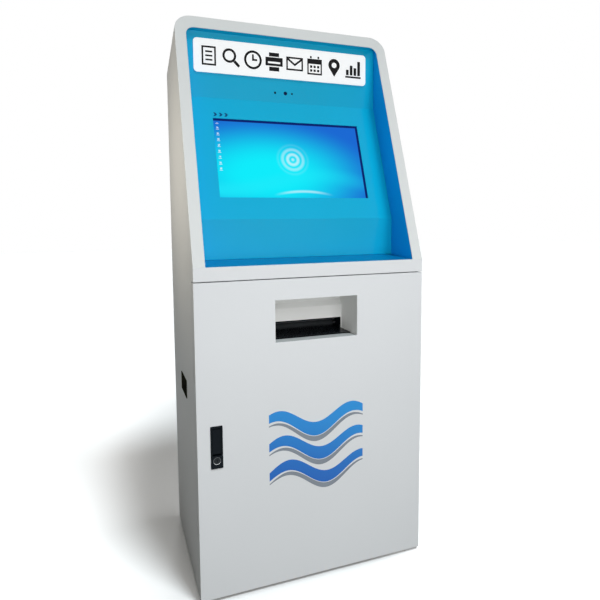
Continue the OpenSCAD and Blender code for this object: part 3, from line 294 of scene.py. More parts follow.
class Signal:
    """A node's output that takes part in Python arithmetic."""

    def __init__(self, tree, socket):
        self.tree = tree
        self.socket = socket

    def math(self, operation, *values):
        """A Math node on these values, or on this one if there are none."""
        sockets = dict(enumerate(values or (self,)))
        return self.tree.node("ShaderNodeMath", {"operation": operation}, sockets)

    def __add__(self, other):
        return self.math("ADD", self, other)

    def __sub__(self, other):
        return self.math("SUBTRACT", self, other)

    def __rsub__(self, other):
        return self.math("SUBTRACT", other, self)

    def __mul__(self, other):
        return self.math("MULTIPLY", self, other)

    def __truediv__(self, other):
        return self.math("DIVIDE", self, other)

    def __mod__(self, other):
        return self.math("FLOORED_MODULO", self, other)

    def __pow__(self, other):
        return self.math("POWER", self, other)

    def __lt__(self, other):
        return self.math("LESS_THAN", self, other)

    def __gt__(self, other):
        return self.math("GREATER_THAN", self, other)

    def __abs__(self):
        return self.math("ABSOLUTE")

    __radd__ = __add__
    __rmul__ = __mul__


def hypot(first, second):
    """Length of the vector with these two parts."""
    return (first * first + second * second) ** 0.5


def opaque(shade):
    """A colour as a socket takes it."""
    return shade if isinstance(shade, Signal) else (*shade[:3], 1.0)


def scaled(shade, factor):
    """A colour made darker or lighter by a factor."""
    return tuple(min(1.0, part * factor) for part in shade[:3])


def find_socket(sockets, key):
    """The socket with this place, identifier or name."""
    if isinstance(key, int):
        return sockets[key]
    for socket in sockets:
        if socket.enabled and key in (socket.identifier, socket.name):
            return socket
    raise KeyError(key)


class NodeTree:
    """A node tree that is built node by node."""

    def __init__(self, tree):
        self.tree = tree

    def node(self, kind, settings=None, sockets=None, output=0):
        """Adds a node, with its settings first and then its sockets' values or links."""
        made = self.tree.nodes.new(kind)
        for name, value in (settings or {}).items():
            setattr(made, name, value)
        for key, value in (sockets or {}).items():
            socket = find_socket(made.inputs, key)
            if isinstance(value, Signal):
                self.tree.links.new(value.socket, socket)
            else:
                socket.default_value = value
        return Signal(self, find_socket(made.outputs, output)) if made.outputs else None

    def ramp(self, value, low, high):
        """Zero at low, one at high, and smooth between them."""
        sockets = {"Value": value, "From Min": low, "From Max": high}
        return self.node("ShaderNodeMapRange", {"interpolation_type": "SMOOTHSTEP"}, sockets)

    def fade(self, value, low, high):
        """One at low, zero at high, and smooth between them."""
        return 1 - self.ramp(value, low, high)

    def mix(self, factor, first, second):
        """The first colour where the factor is zero and the second where it is one."""
        sockets = {"Factor_Float": factor, "A_Color": opaque(first), "B_Color": opaque(second)}
        return self.node("ShaderNodeMix", {"data_type": "RGBA"}, sockets, "Result_Color")


def middle_of(node):
    """Middle of a CAD node's box."""
    low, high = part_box(node)
    return (low + high) / 2


class Finish(NodeTree):
    """One material, built from nodes."""

    def __init__(self, name):
        self.material = bpy.data.materials.new(name)
        self.material.use_nodes = True
        super().__init__(self.material.node_tree)
        self.tree.nodes.clear()
        self.place = self.node("ShaderNodeTexCoord", output="Object")
        self.shade = getattr(colours(), name, None)

    def parts(self, vector=None):
        """The three parts of a vector, which is the place on the piece unless given."""
        split = self.node("ShaderNodeSeparateXYZ", None, {0: vector or self.place})
        return [Signal(self, socket) for socket in split.socket.node.outputs]

    def noise(self, scale, detail=2.0, vector=None):
        """Smooth noise with this many features in a metre."""
        sockets = {"Vector": vector or self.place, "Scale": scale, "Detail": detail}
        return self.node("ShaderNodeTexNoise", None, sockets)

    def mapped(self, kind, **sockets):
        """The place on the piece through a Mapping node of a kind."""
        return self.node("ShaderNodeMapping", {"vector_type": kind}, {"Vector": self.place, **sockets})

    def radius(self, node, axes):
        """Distance from the axis of a round CAD node, across two directions."""
        parts = self.parts()
        centre = middle_of(node)
        return hypot(*[parts[axis] - centre[axis] for axis in axes])

    def mottled(self, mask, low, high):
        """The finish's own colour, from a low to a high share of it as the mask rises."""
        return self.mix(mask, scaled(self.shade, low), scaled(self.shade, high))

    def bump(self, height, strength, distance):
        """A normal that follows a height."""
        sockets = {"Height": height, "Strength": strength, "Distance": distance}
        return self.node("ShaderNodeBump", None, sockets)

    def surface(self, sockets):
        """Ends the material in a Principled shader."""
        shader = self.node("ShaderNodeBsdfPrincipled", None, sockets)
        self.node("ShaderNodeOutputMaterial", None, {"Surface": shader})
        return self.material


@functools.cache
def powder_coat(name):
    """Powder coat with a fine orange peel."""
    finish = Finish(name)
    peel = finish.noise(650.0, 3.0)
    return finish.surface(
        {
            "Base Color": finish.mottled(finish.noise(3.0), 0.965, 1.02),
            "Roughness": 0.46 + 0.1 * peel,
            "Specular IOR Level": 0.06,
            "Normal": finish.bump(peel, 0.12, 0.0004),
        }
    )


@functools.cache
def gloss_coat(name):
    """Glossy coat."""
    finish = Finish(name)
    peel = finish.noise(420.0)
    return finish.surface(
        {
            "Base Color": finish.mottled(finish.noise(5.0), 0.93, 1.06),
            "Roughness": 0.3 + 0.08 * peel,
            "Specular IOR Level": 0.1,
            "Coat Weight": 0.18,
            "Coat Roughness": 0.06,
            "Normal": finish.bump(peel, 0.08, 0.0004),
        }
    )


@functools.cache
def title_face():
    """Glossy white plate with a slight glow of its own, painted light that lifts it to white."""
    finish = Finish("title_plate_white")
    return finish.surface(
        {
            "Base Color": finish.mottled(finish.noise(9.0), 0.98, 1.0),
            "Roughness": 0.16 + 0.1 * finish.noise(60.0),
            "Specular IOR Level": 0.15,
            "Emission Color": opaque(WHITE),
            "Emission Strength": studio().title_glow,
        }
    )


@functools.cache
def printed(name):
    """Printed film."""
    finish = Finish(name)
    grain = finish.noise(1500.0)
    return finish.surface(
        {
            "Base Color": finish.mottled(grain, 1.0, 1.5),
            "Roughness": 0.35 + 0.12 * grain,
            "Specular IOR Level": 0.15,
        }
    )


# Roughness of each moulding, features of its grain in a metre, and its gloss
MOULDINGS = {
    "black_moulding": (0.42, 1100.0, 0.08),
    # The grips' lighter colour is a painted reflection
    "grip_moulding": (0.8, 900.0, 0.0),
    "tray_moulding": (0.2, 500.0, 0.08),
    "casing_grey": (0.5, 1100.0, 0.08),
    "foot_rubber": (0.72, 600.0, 0.08),
    "roller_rubber": (0.66, 1600.0, 0.08),
    "nylon": (0.38, 700.0, 0.08),
}


@functools.cache
def moulding(name):
    """Moulded plastic or rubber with a fine grain."""
    roughness, features, gloss = MOULDINGS[name]
    finish = Finish(name)
    grain = finish.noise(features, 3.0)
    return finish.surface(
        {
            "Base Color": finish.mottled(finish.noise(14.0), 0.8, 1.25),
            "Roughness": roughness + 0.14 * grain,
            "Specular IOR Level": gloss,
            "Normal": finish.bump(grain, 0.16, 0.0003),
        }
    )


# Roughness of each metal, features of its grain in a metre along x, y and z, and what the grain adds
METALS = {
    "brushed_steel": (0.26, (60.0, 1400.0, 1400.0), 0.14),
    "bright_plate": (0.1, (300.0, 300.0, 1500.0), 0.06),
}


@functools.cache
def metal(name):
    """Metal whose grain runs along the axis with the fewest features."""
    roughness, features, spread = METALS[name]
    finish = Finish(name)
    lines = finish.noise(1.0, 4.0, finish.mapped("POINT", Scale=features))
    return finish.surface(
        {
            "Base Color": finish.mottled(lines, 0.86, 1.08),
            "Metallic": 1.0,
            "Roughness": roughness + spread * lines + 0.08 * finish.noise(11.0),
            "Normal": finish.bump(lines, 0.08, 0.0002),
        }
    )


@functools.cache
def galvanised():
    """Zinc-coated sheet with its spangle."""
    finish = Finish("galvanised_sheet")
    cells = finish.node("ShaderNodeTexVoronoi", None, {"Vector": finish.place, "Scale": 85.0}, "Color")
    spangle = finish.parts(cells)[0]
    return finish.surface(
        {
            "Base Color": finish.mix(spangle, colours().zinc_dull, colours().zinc_bright),
            "Metallic": 0.9,
            "Roughness": 0.34 + 0.16 * spangle,
            "Normal": finish.bump(finish.noise(700.0), 0.06, 0.0002),
        }
    )


@functools.cache
def dark_coat():
    """Dark grey textured coat."""
    finish = Finish("dark_grey_coat")
    grit = finish.noise(900.0, 4.0)
    return finish.surface(
        {
            "Base Color": finish.mix(grit, colours().grit_dark, colours().grit_light),
            "Roughness": 0.45 + 0.2 * grit,
            "Normal": finish.bump(grit, 0.3, 0.0004),
        }
    )


@functools.cache
def roll_paper():
    """White paper, with the edges of its wound layers at the roll's ends."""
    finish = Finish("roll_paper")
    wound = finish.radius("paper_roll", (1, 2)) * 4000.0
    layers = finish.noise(1.0, 3.0, finish.node("ShaderNodeCombineXYZ", None, {"X": wound}))
    fibre = finish.noise(900.0, 3.0)
    return finish.surface(
        {
            "Base Color": finish.mix(layers, colours().paper_dark, colours().paper_light),
            "Roughness": 0.7 + 0.15 * fibre,
            "Normal": finish.bump(layers + fibre, 0.12, 0.0003),
        }
    )


@functools.cache
def lens_glass():
    """Dark lens with a faint coloured ring."""
    finish = Finish("camera_lens")
    low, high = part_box("webcam_lens")
    reach = finish.radius("webcam_lens", (0, 2)) / ((high.x - low.x) / 2)
    ring = finish.ramp(reach, 0.3, 0.5) * finish.fade(reach, 0.5, 0.62)
    return finish.surface(
        {
            "Base Color": finish.mix(ring, colours().lens_dark, colours().lens_ring),
            "Roughness": 0.12 + 0.1 * reach,
            "Specular IOR Level": 0.06,
        }
    )


@functools.cache
def button_face():
    """Satin black button with a metal rim and a painted highlight at the rim's foot."""
    finish = Finish("lock_button_face")
    low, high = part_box("lock_button")
    half = (high.x - low.x) / 2
    rim = finish.ramp(finish.radius("lock_button", (0, 2)) / half, 0.86, 0.93)
    # Painted highlight: the rim turns bright towards its foot
    painted_highlight = finish.ramp((middle_of("lock_button").z - finish.parts()[2]) / half, 0.1, 0.75)
    plate = finish.mix(painted_highlight, colours().button_rim, colours().button_worn)
    return finish.surface(
        {
            "Base Color": finish.mix(rim, colours().button_black, plate),
            "Metallic": rim,
            "Roughness": 0.42 - 0.2 * rim + 0.06 * finish.noise(1300.0),
            "Specular IOR Level": 0.1,
        }
    )


@functools.cache
def ribbon_blue():
    """Blue film that deepens down the door."""
    finish = Finish("ribbon_blue")
    low = sizes().emblem_low
    across, _, height = finish.parts()
    rise = finish.ramp(height + 0.25 * across, low, low + sizes().emblem_height)
    return finish.surface(
        {
            "Base Color": finish.mix(rise, colours().ribbon_deep, colours().ribbon_light),
            "Roughness": 0.36 + 0.1 * finish.noise(1400.0),
        }
    )


@functools.cache
def ribbon_grey():
    """Grey film under the blue."""
    finish = Finish("ribbon_grey")
    return finish.surface(
        {
            "Base Color": finish.mottled(finish.noise(12.0), 0.86, 1.12),
            "Roughness": 0.38 + 0.1 * finish.noise(1400.0),
        }
    )


def plane(origin, up, right=RIGHT):
    """Matrix of a flat frame with its origin and its directions; it faces the front unless turned."""
    rows = Matrix((right, up, right.cross(up))).transposed().to_4x4()
    return Matrix.Translation(origin) @ rows


def face_of(node, out, up=UP):
    """Flat frame in the middle of the side of a CAD node's box that looks in a direction."""
    low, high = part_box(node)
    reach = Vector([out[axis] * (high[axis] - low[axis]) / 2 for axis in range(3)])
    return plane(middle_of(node) + reach, up, up.cross(out))


def display_plane():
    """Flat frame on the touch glass's front, and half the width and height of the cut-out before it."""
    low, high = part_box("touch_glass")
    points = [vertex.co for vertex in NODES["touch_glass"].data.vertices]
    foot = min(points, key=lambda p: p.y)
    top = max(points, key=lambda p: p.z)
    up = Vector((0, top.y - foot.y, top.z - foot.z))
    middle = Vector((0, (foot.y + top.y) / 2, (foot.z + top.z) / 2))
    lap = sizes().glass_lap
    return plane(middle, up.normalized()), (high.x - low.x) / 2 - lap, up.length / 2 - lap


def picture_glow(finish, u, v):
    """Wide glow below and left of the middle; u and v are in halves of the picture."""
    return finish.fade(hypot((u + 0.35) * 0.85, (v + 0.4) * 0.9), 0.25, 1.4)


def picture_swell(finish, u, v):
    """Swell across the lower half, fainter to the right."""
    crest = 0.2 * (u * 2.4 + 0.7).math("SINE") - 0.62
    return finish.fade(abs(v - crest), 0.02, 0.3) * (0.42 - 0.28 * u)


def picture_streak(finish, u, v):
    """Short arc at the foot."""
    side = u - 0.1
    crest = 0.1 * (1 - side * side * 6.0) - 0.93
    return finish.fade(abs(v - crest), 0.0, 0.05) * finish.fade(abs(side), 0.1, 0.42) * 0.55


def picture_ripple(finish, x, y):
    """Rings about the middle, fainter outwards; x and y are in metres."""
    reach = hypot(x, y)
    rings = (reach * 420.0).math("COSINE") * 0.5 + 0.5
    return rings * finish.fade(reach, 0.012, 0.05) * 0.6


# Column of marks on the display, in metres: its way in from the left, and the pitch and start of its rows
MARKS_IN = 0.01
MARKS_PITCH = 0.0165
MARKS_START = 0.005
# Half width, half height and height in its row of a tile and of the caption under it, in metres
TILE = (0.0026, 0.0026, 0.007)
CAPTION = (0.004, 0.0006, 0.0022)


def picture_marks(finish, left, x, y, v):
    """Column of small tiles with a caption under each, beside the left edge."""
    row = (y + MARKS_START) % MARKS_PITCH
    side = abs(x - left - MARKS_IN)
    tile, caption = [
        (side < half_w) * (abs(row - height) < half_h) for half_w, half_h, height in (TILE, CAPTION)
    ]
    marks = tile * finish.ramp(finish.noise(420.0), 0.38, 0.5) + caption
    return marks * (v > -0.35) * (v < 0.9) * 0.75


@functools.cache
def lit_display():
    """Lit picture under glass: a cyan glow, a swell, an arc, rings and a column of small marks, with
    painted shade of the cut-out's walls along its top and right.
    """
    finish = Finish("lit_display")
    flat, half_w, half_h = display_plane()
    on_glass = finish.mapped("TEXTURE", Location=flat.to_translation(), Rotation=flat.to_euler())
    x, y, _ = finish.parts(on_glass)
    u = x / half_w
    v = y / half_h
    shades = colours()
    picture = finish.mix(picture_glow(finish, u, v), shades.picture_deep, shades.picture_bright)
    picture = finish.mix(picture_swell(finish, u, v), picture, shades.picture_swell)
    picture = finish.mix(picture_streak(finish, u, v), picture, shades.picture_streak)
    picture = finish.mix(picture_ripple(finish, x, y), picture, shades.picture_ripple)
    picture = finish.mix(picture_marks(finish, -half_w, x, y, v), picture, shades.picture_marks)
    # Painted shade: a dark margin at the top and right stands in for the shaded walls of the cut-out
    margin = sizes().picture_margin
    inside = (x < half_w - margin) * (y < half_h - margin)
    return finish.surface(
        {
            "Base Color": opaque(shades.screen_glass),
            "Emission Color": finish.mix(inside, shades.picture_edge, picture),
            "Emission Strength": studio().picture_glow,
            "Roughness": 0.06 + 0.04 * finish.noise(30.0),
            "Specular IOR Level": 0.04,
        }
    )


def new_piece(name, shape, *finishes):
    """An object at the origin made from a bmesh, which is used up."""
    mesh = bpy.data.meshes.new(name)
    shape.to_mesh(mesh)
    shape.free()
    for finish in finishes:
        mesh.materials.append(finish)
    piece = bpy.data.objects.new(name, mesh)
    bpy.context.scene.collection.objects.link(piece)
    return piece


def evaluated(piece):
    """A plain mesh of what a piece's curves or modifiers make."""
    bpy.context.view_layer.update()
    graph = bpy.context.evaluated_depsgraph_get()
    return bpy.data.meshes.new_from_object(piece.evaluated_get(graph))


def baked(piece):
    """Turns a piece's modifiers into its plain mesh."""
    mesh = evaluated(piece)
    piece.modifiers.clear()
    old = piece.data
    piece.data = mesh
    mesh.name = piece.name
    bpy.data.meshes.remove(old)
    return piece


def dress(piece, body, slot, *nodes):
    """Sets what a finished piece moves with and hides the CAD nodes that it takes the place of; the slot
    is not used.
    """
    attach(piece, body)
    if nodes:
        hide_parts(*nodes)


def merged(node):
    """A copy of a CAD node's mesh with its seams closed and its flat faces whole."""
    shape = bmesh.new()
    shape.from_mesh(NODES[node].data)
    bmesh.ops.remove_doubles(shape, verts=shape.verts, dist=SEAM)
    bmesh.ops.dissolve_limit(shape, angle_limit=FLAT, verts=shape.verts, edges=shape.edges)
    bmesh.ops.triangulate(shape, faces=[face for face in shape.faces if len(face.verts) > 4])
    return shape


def round_edges(piece, edge):
    """Rounds a piece's creases and smooths the rest."""
    piece.data.shade_smooth()
    piece.data.set_sharp_from_angle(angle=CREASE)
    bevel = piece.modifiers.new("edges", "BEVEL")
    bevel.width = edge
    bevel.segments = 2
    bevel.limit_method = "ANGLE"
    bevel.angle_limit = CREASE
    bevel.use_clamp_overlap = False
    bevel.loop_slide = False
    bevel.harden_normals = True
    baked(piece)


def softened(node, edge, slot, *finishes, second=None):
    """Dresses a CAD node with rounded edges; faces that pass the second test take the second finish."""
    piece = new_piece("finished_" + node, merged(node), *finishes)
    if second:
        for face in piece.data.polygons:
            face.material_index = int(second(face))
    round_edges(piece, edge)
    dress(piece, NODES[node]["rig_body"], slot, node)


def soften_all(edge, slot, finish, *nodes):
    """Dresses several CAD nodes of one finish with rounded edges."""
    for node in nodes:
        softened(node, edge, slot, finish)


def is_level(face):
    """Tells whether a face looks straight up."""
    return face.normal.z > STRAIGHT


def is_upright(face):
    """Tells whether a face looks straight to the front."""
    return face.normal.y < -STRAIGHT


def rectangle(x, y, w, h):
    """Outline of a rectangle about a point."""
    return [(x + sx * w / 2, y + sy * h / 2) for sx, sy in ((-1, -1), (1, -1), (1, 1), (-1, 1))]


def arc(x, y, r, start, end, steps):
    """Points of an arc about a point, from one angle in degrees to another."""
    turns = [math.radians(start + (end - start) * i / steps) for i in range(steps + 1)]
    return [(x + r * math.cos(turn), y + r * math.sin(turn)) for turn in turns]


def disc(x, y, r):
    """Outline of a circle about a point."""
    return arc(x, y, r, 0, 360, 40)[:-1]


def page_sign():
    """Sheet with three lines, in halves of a sign's height like the other signs."""
    lines = [rectangle(0, y, 0.74, 0.17) for y in (0.42, 0, -0.42)]
    return [rectangle(0, 0, 1.5, 1.96), rectangle(0, 0, 1.14, 1.6), *lines]


def glass_sign():
    """Magnifying glass with its handle to the lower right."""
    x, y = -0.2, 0.2
    slope = math.sqrt(0.5)
    straight = rectangle(1.12, 0, 0.74, 0.3)
    handle = [(x + (along + across) * slope, y + (across - along) * slope) for along, across in straight]
    return [disc(x, y, 0.74), disc(x, y, 0.5), handle]


def clock_sign():
    """Clock face with two hands."""
    hands = [(-0.1, -0.1), (0.46, -0.1), (0.46, 0.1), (0.1, 0.1), (0.1, 0.56), (-0.1, 0.56)]
    return [disc(0, 0, 0.98), disc(0, 0, 0.74), hands]


def printer_sign():
    """Printer with a sheet above and below."""
    boxes = ((0.76, 1.14, 0.4), (0.02, 1.96, 0.9), (-0.08, 1.4, 0.2), (-0.76, 1.14, 0.44))
    return [rectangle(0, y, w, h) for y, w, h in boxes]


def letter_sign():
    """Closed envelope."""
    flap = [(-0.68, 0.54), (0.68, 0.54), (0, 0.02)]
    body = [(-0.8, 0.36), (-0.8, -0.54), (0.8, -0.54), (0.8, 0.36), (0, -0.24)]
    return [rectangle(0, 0, 1.96, 1.44), flap, body]


def calendar_sign():
    """Calendar leaf with six days."""
    days = [rectangle(x, y, 0.26, 0.26) for x in (-0.42, 0, 0.42) for y in (-0.1, -0.52)]
    rings = [rectangle(x, 0.92, 0.2, 0.24) for x in (-0.45, 0.45)]
    return [rectangle(0, -0.12, 1.76, 1.72), rectangle(0, -0.3, 1.44, 1.0), *days, *rings]


def place_sign():
    """Map pin."""
    head = arc(0, 0.28, 0.7, -30, 210, 28)
    return [[*head, (0, -0.98)], disc(0, 0.28, 0.3)]


def chart_sign():
    """Four bars over a base line."""
    heights = (0.6, 1.1, 0.85, 1.6)
    bars = [rectangle(0.48 * i - 0.72, h / 2 - 0.66, 0.34, h) for i, h in enumerate(heights)]
    return [*bars, rectangle(0, -0.86, 1.96, 0.2)]


SIGNS = (
    page_sign, glass_sign, clock_sign, printer_sign,
    letter_sign, calendar_sign, place_sign, chart_sign,
)
# Room at the two ends of the row of signs together, as a share of their pitch
SIGNS_ROOM = 0.35
# Arrowhead over the display, in halves of its frame's height
ARROW = ((-0.8, 0.8), (0, 0.8), (0.8, 0), (0, -0.8), (-0.8, -0.8), (-0.15, 0))
ARROWS = 3


def placed(outlines, x, y, scale):
    """Outlines scaled and moved."""
    return [[(x + scale * a, y + scale * b) for a, b in outline] for outline in outlines]


def film(name, outlines, flat, finish, body):
    """Dresses a body with a thin film on a flat frame; an outline inside another is a hole."""
    curve = bpy.data.curves.new(name, "CURVE")
    curve.dimensions = "2D"
    curve.fill_mode = "BOTH"
    curve.extrude = sizes().decal
    for outline in outlines:
        spline = curve.splines.new("POLY")
        spline.points.add(len(outline) - 1)
        for point, (x, y) in zip(spline.points, outline):
            point.co = (x, y, 0, 1)
        spline.use_cyclic_u = True
    drawn = bpy.data.objects.new(name + "_outline", curve)
    bpy.context.scene.collection.objects.link(drawn)
    mesh = evaluated(drawn)
    shape = bmesh.new()
    shape.from_mesh(mesh)
    shape.transform(flat)
    bmesh.ops.remove_doubles(shape, verts=shape.verts, dist=SEAM)
    bmesh.ops.recalc_face_normals(shape, faces=shape.faces)
    bpy.data.objects.remove(drawn)
    bpy.data.curves.remove(curve)
    bpy.data.meshes.remove(mesh)
    dress(new_piece(name, shape, finish), body, None)


# Number of ribbons on the door, and in shares of the emblem's height their start, pitch and swing
RIBBONS = 3
RIBBON_LOW = 0.2
RIBBON_PITCH = 0.28
RIBBON_SWING = 0.1
# Turns of the swing across the emblem, and by how many turns each ribbon leads the one below
RIBBON_TURNS = 1.25
RIBBON_LEAD = 0.07
# Half height of a blue ribbon at its ends, what its middle adds in the lowest row, and the step per row
BLUE_END = 0.045
BLUE_SWELL = 0.0224
BLUE_SWELL_STEP = 0.0048
# Half height of a grey underside at its ends, what its middle adds, and its drop below the blue
GREY_END = 0.006
GREY_SWELL = 0.022
GREY_DROP = 0.035


def ribbon(middle, half):
    """Outline of a ribbon along x from its middle line and its half height, both functions of 0 to 1."""
    steps = 60
    width = sizes().emblem_width
    shares = [i / steps for i in range(steps + 1)]
    top = [((t - 0.5) * width, middle(t) + half(t)) for t in shares]
    bottom = [((t - 0.5) * width, middle(t) - half(t)) for t in reversed(shares)]
    return top + bottom


def emblem_row(row):
    """Outlines of one blue ribbon and of the grey under it, over the emblem's lower end."""
    height = sizes().emblem_height

    def middle(t):
        swing = RIBBON_SWING * math.sin(2 * math.pi * (RIBBON_TURNS * t + RIBBON_LEAD * row))
        return height * (RIBBON_LOW + RIBBON_PITCH * row + swing)

    def half(t):
        return height * (BLUE_END + (BLUE_SWELL + BLUE_SWELL_STEP * row) * math.sin(math.pi * t))

    def under(t):
        return middle(t) - half(t) - height * GREY_DROP

    def thin(t):
        return height * (GREY_END + GREY_SWELL * math.sin(math.pi * t))

    return ribbon(middle, half), ribbon(under, thin)


class Geometry(NodeTree):
    """A Geometry Nodes tree with named sizes."""

    def __init__(self, name, **values):
        group = bpy.data.node_groups.new(name, "GeometryNodeTree")
        super().__init__(group)
        self.values = values
        self.keys = {}
        face = group.interface
        face.new_socket("Geometry", in_out="INPUT", socket_type="NodeSocketGeometry")
        for key in values:
            socket = face.new_socket(key, in_out="INPUT", socket_type="NodeSocketFloat")
            self.keys[key] = socket.identifier
        face.new_socket("Geometry", in_out="OUTPUT", socket_type="NodeSocketGeometry")
        self.start = self.node("NodeGroupInput")

    def size(self, key):
        """The named size."""
        return Signal(self, find_socket(self.start.socket.node.outputs, self.keys[key]))

    def vector(self, x=0.0, y=0.0, z=0.0):
        """A vector from values or sizes."""
        return self.node("ShaderNodeCombineXYZ", None, {"X": x, "Y": y, "Z": z})

    def mesh(self, kind, **sockets):
        """A Mesh Primitive node of a kind."""
        return self.node("GeometryNodeMesh" + kind, None, sockets, "Mesh")

    def moved(self, geometry, **sockets):
        """Geometry moved, turned or scaled."""
        return self.node("GeometryNodeTransform", None, {"Geometry": geometry, **sockets})

    def joined(self, *geometries):
        """Several geometries as one."""
        node = self.node("GeometryNodeJoinGeometry")
        for geometry in reversed(geometries):
            self.tree.links.new(geometry.socket, node.socket.node.inputs[0])
        return node

    def spread(self, shape, material):
        """Sets the shape at each point and ends the tree in a real mesh with its material."""
        points = Signal(self, self.start.socket)
        copies = self.node("GeometryNodeInstanceOnPoints", None, {"Points": points, "Instance": shape})
        real = self.node("GeometryNodeRealizeInstances", None, {0: copies})
        painted = self.node("GeometryNodeSetMaterial", None, {"Geometry": real, "Material": material})
        self.node("NodeGroupOutput", None, {0: painted})
        return self

    def fitted(self, points, flat, slot, *nodes):
        """Dresses the cabinet with what the tree makes at points of a flat frame."""
        shape = bmesh.new()
        for point in points:
            shape.verts.new(point)
        piece = new_piece(self.tree.name, shape)
        modifier = piece.modifiers.new("nodes", "NODES")
        modifier.node_group = self.tree
        for key, identifier in self.keys.items():
            modifier[identifier] = self.values[key]
        baked(piece)
        piece.data.transform(flat)
        dress(piece, "cabinet", slot, *nodes)


# Sizes of a round-headed screw and of a plate with round corners, in metres
Screw = namedtuple("Screw", "radius rise reach")
Plate = namedtuple("Plate", "width height corner depth")

# Shares of a screw's head radius: radius of its shank, and width and length of its recess's arms
SHANK_RADIUS = 0.45
ARM_WIDTH = 0.25
ARM_LENGTH = 1.15
# Depth of a screw's recess, as a share of its head's rise
RECESS_DEPTH = 0.5


def screw_tree(name, screw):
    """Steel screws with a cross recess, one at each point, with the head upwards."""
    tree = Geometry(
        name,
        head_radius=screw.radius,
        head_rise=screw.rise,
        shank_radius=screw.radius * SHANK_RADIUS,
        shank_length=screw.reach,
        recess_width=screw.radius * ARM_WIDTH,
        recess_length=screw.radius * ARM_LENGTH,
        recess_depth=screw.rise * RECESS_DEPTH,
    )
    across = tree.size("head_radius")
    rise = tree.size("head_rise")
    ball = tree.mesh("UVSphere", Segments=28, Rings=14, Radius=1.0)
    dome = tree.moved(ball, Scale=tree.vector(across, across, rise))
    depth = tree.size("recess_depth") * 2
    arm = tree.mesh("Cube", Size=tree.vector(tree.size("recess_length"), tree.size("recess_width"), depth))
    raised = tree.moved(arm, Translation=tree.vector(z=rise))
    crossed = tree.moved(raised, Rotation=(0, 0, math.pi / 2))
    head = tree.node("GeometryNodeMeshBoolean", {"operation": "DIFFERENCE"}, {"Mesh 1": dome})
    for cutter in (raised, crossed):
        tree.tree.links.new(cutter.socket, head.socket.node.inputs["Mesh 2"])
    reach = tree.size("shank_length")
    shank = tree.mesh("Cylinder", Vertices=20, Radius=tree.size("shank_radius"), Depth=reach)
    tail = tree.moved(shank, Translation=tree.vector(z=reach * -0.5))
    return tree.spread(tree.joined(head, tail), metal("brushed_steel"))


def plate_tree(name, finish, plate):
    """Flat plates with round corners, one at each point, that stand on their frame."""
    tree = Geometry(name, **plate._asdict())
    sides = {"Width": tree.size("width"), "Height": tree.size("height")}
    outline = tree.node("GeometryNodeCurvePrimitiveQuadrilateral", None, sides)
    corners = {"Curve": outline, "Count": 6, "Radius": tree.size("corner"), "Limit Radius": True}
    rounded = tree.node("GeometryNodeFilletCurve", {"mode": "POLY"}, corners)
    face = tree.node("GeometryNodeFillCurve", {"mode": "NGONS"}, {"Curve": rounded})
    raised = {"Mesh": face, "Offset Scale": tree.size("depth")}
    top = tree.node("GeometryNodeExtrudeMesh", {"mode": "FACES"}, raised)
    bottom = tree.node("GeometryNodeFlipFaces", None, {"Mesh": face})
    both = {"Geometry": tree.joined(top, bottom), "Distance": SEAM}
    return tree.spread(tree.node("GeometryNodeMergeByDistance", None, both), finish)


def grid(columns, rows, pitch_x, pitch_y, x=0.0, y=0.0):
    """Places in rows and columns about a middle."""
    across = [x + (i - (columns - 1) / 2) * pitch_x for i in range(columns)]
    along = [y + (i - (rows - 1) / 2) * pitch_y for i in range(rows)]
    return [Vector((a, b, 0)) for b in along for a in across]


def island_middles(node):
    """Middle of each loose part of a CAD node."""
    shape = merged(node)
    left = set(shape.verts)
    middles = []
    while left:
        found = {left.pop()}
        edge = list(found)
        while edge:
            near = {e.other_vert(v) for v in edge for e in v.link_edges} - found
            found |= near
            edge = list(near)
        left -= found
        points = [v.co for v in found]
        low = Vector([min(p[i] for p in points) for i in range(3)])
        high = Vector([max(p[i] for p in points) for i in range(3)])
        middles.append((low + high) / 2)
    shape.free()
    return sorted(middles, key=lambda p: (p.z, p.x))


def towards(turn, rise):
    """Direction turned from the back to the right and raised over the floor, both in radians."""
    level = math.cos(rise)
    return Vector((math.sin(turn) * level, math.cos(turn) * level, math.sin(rise)))


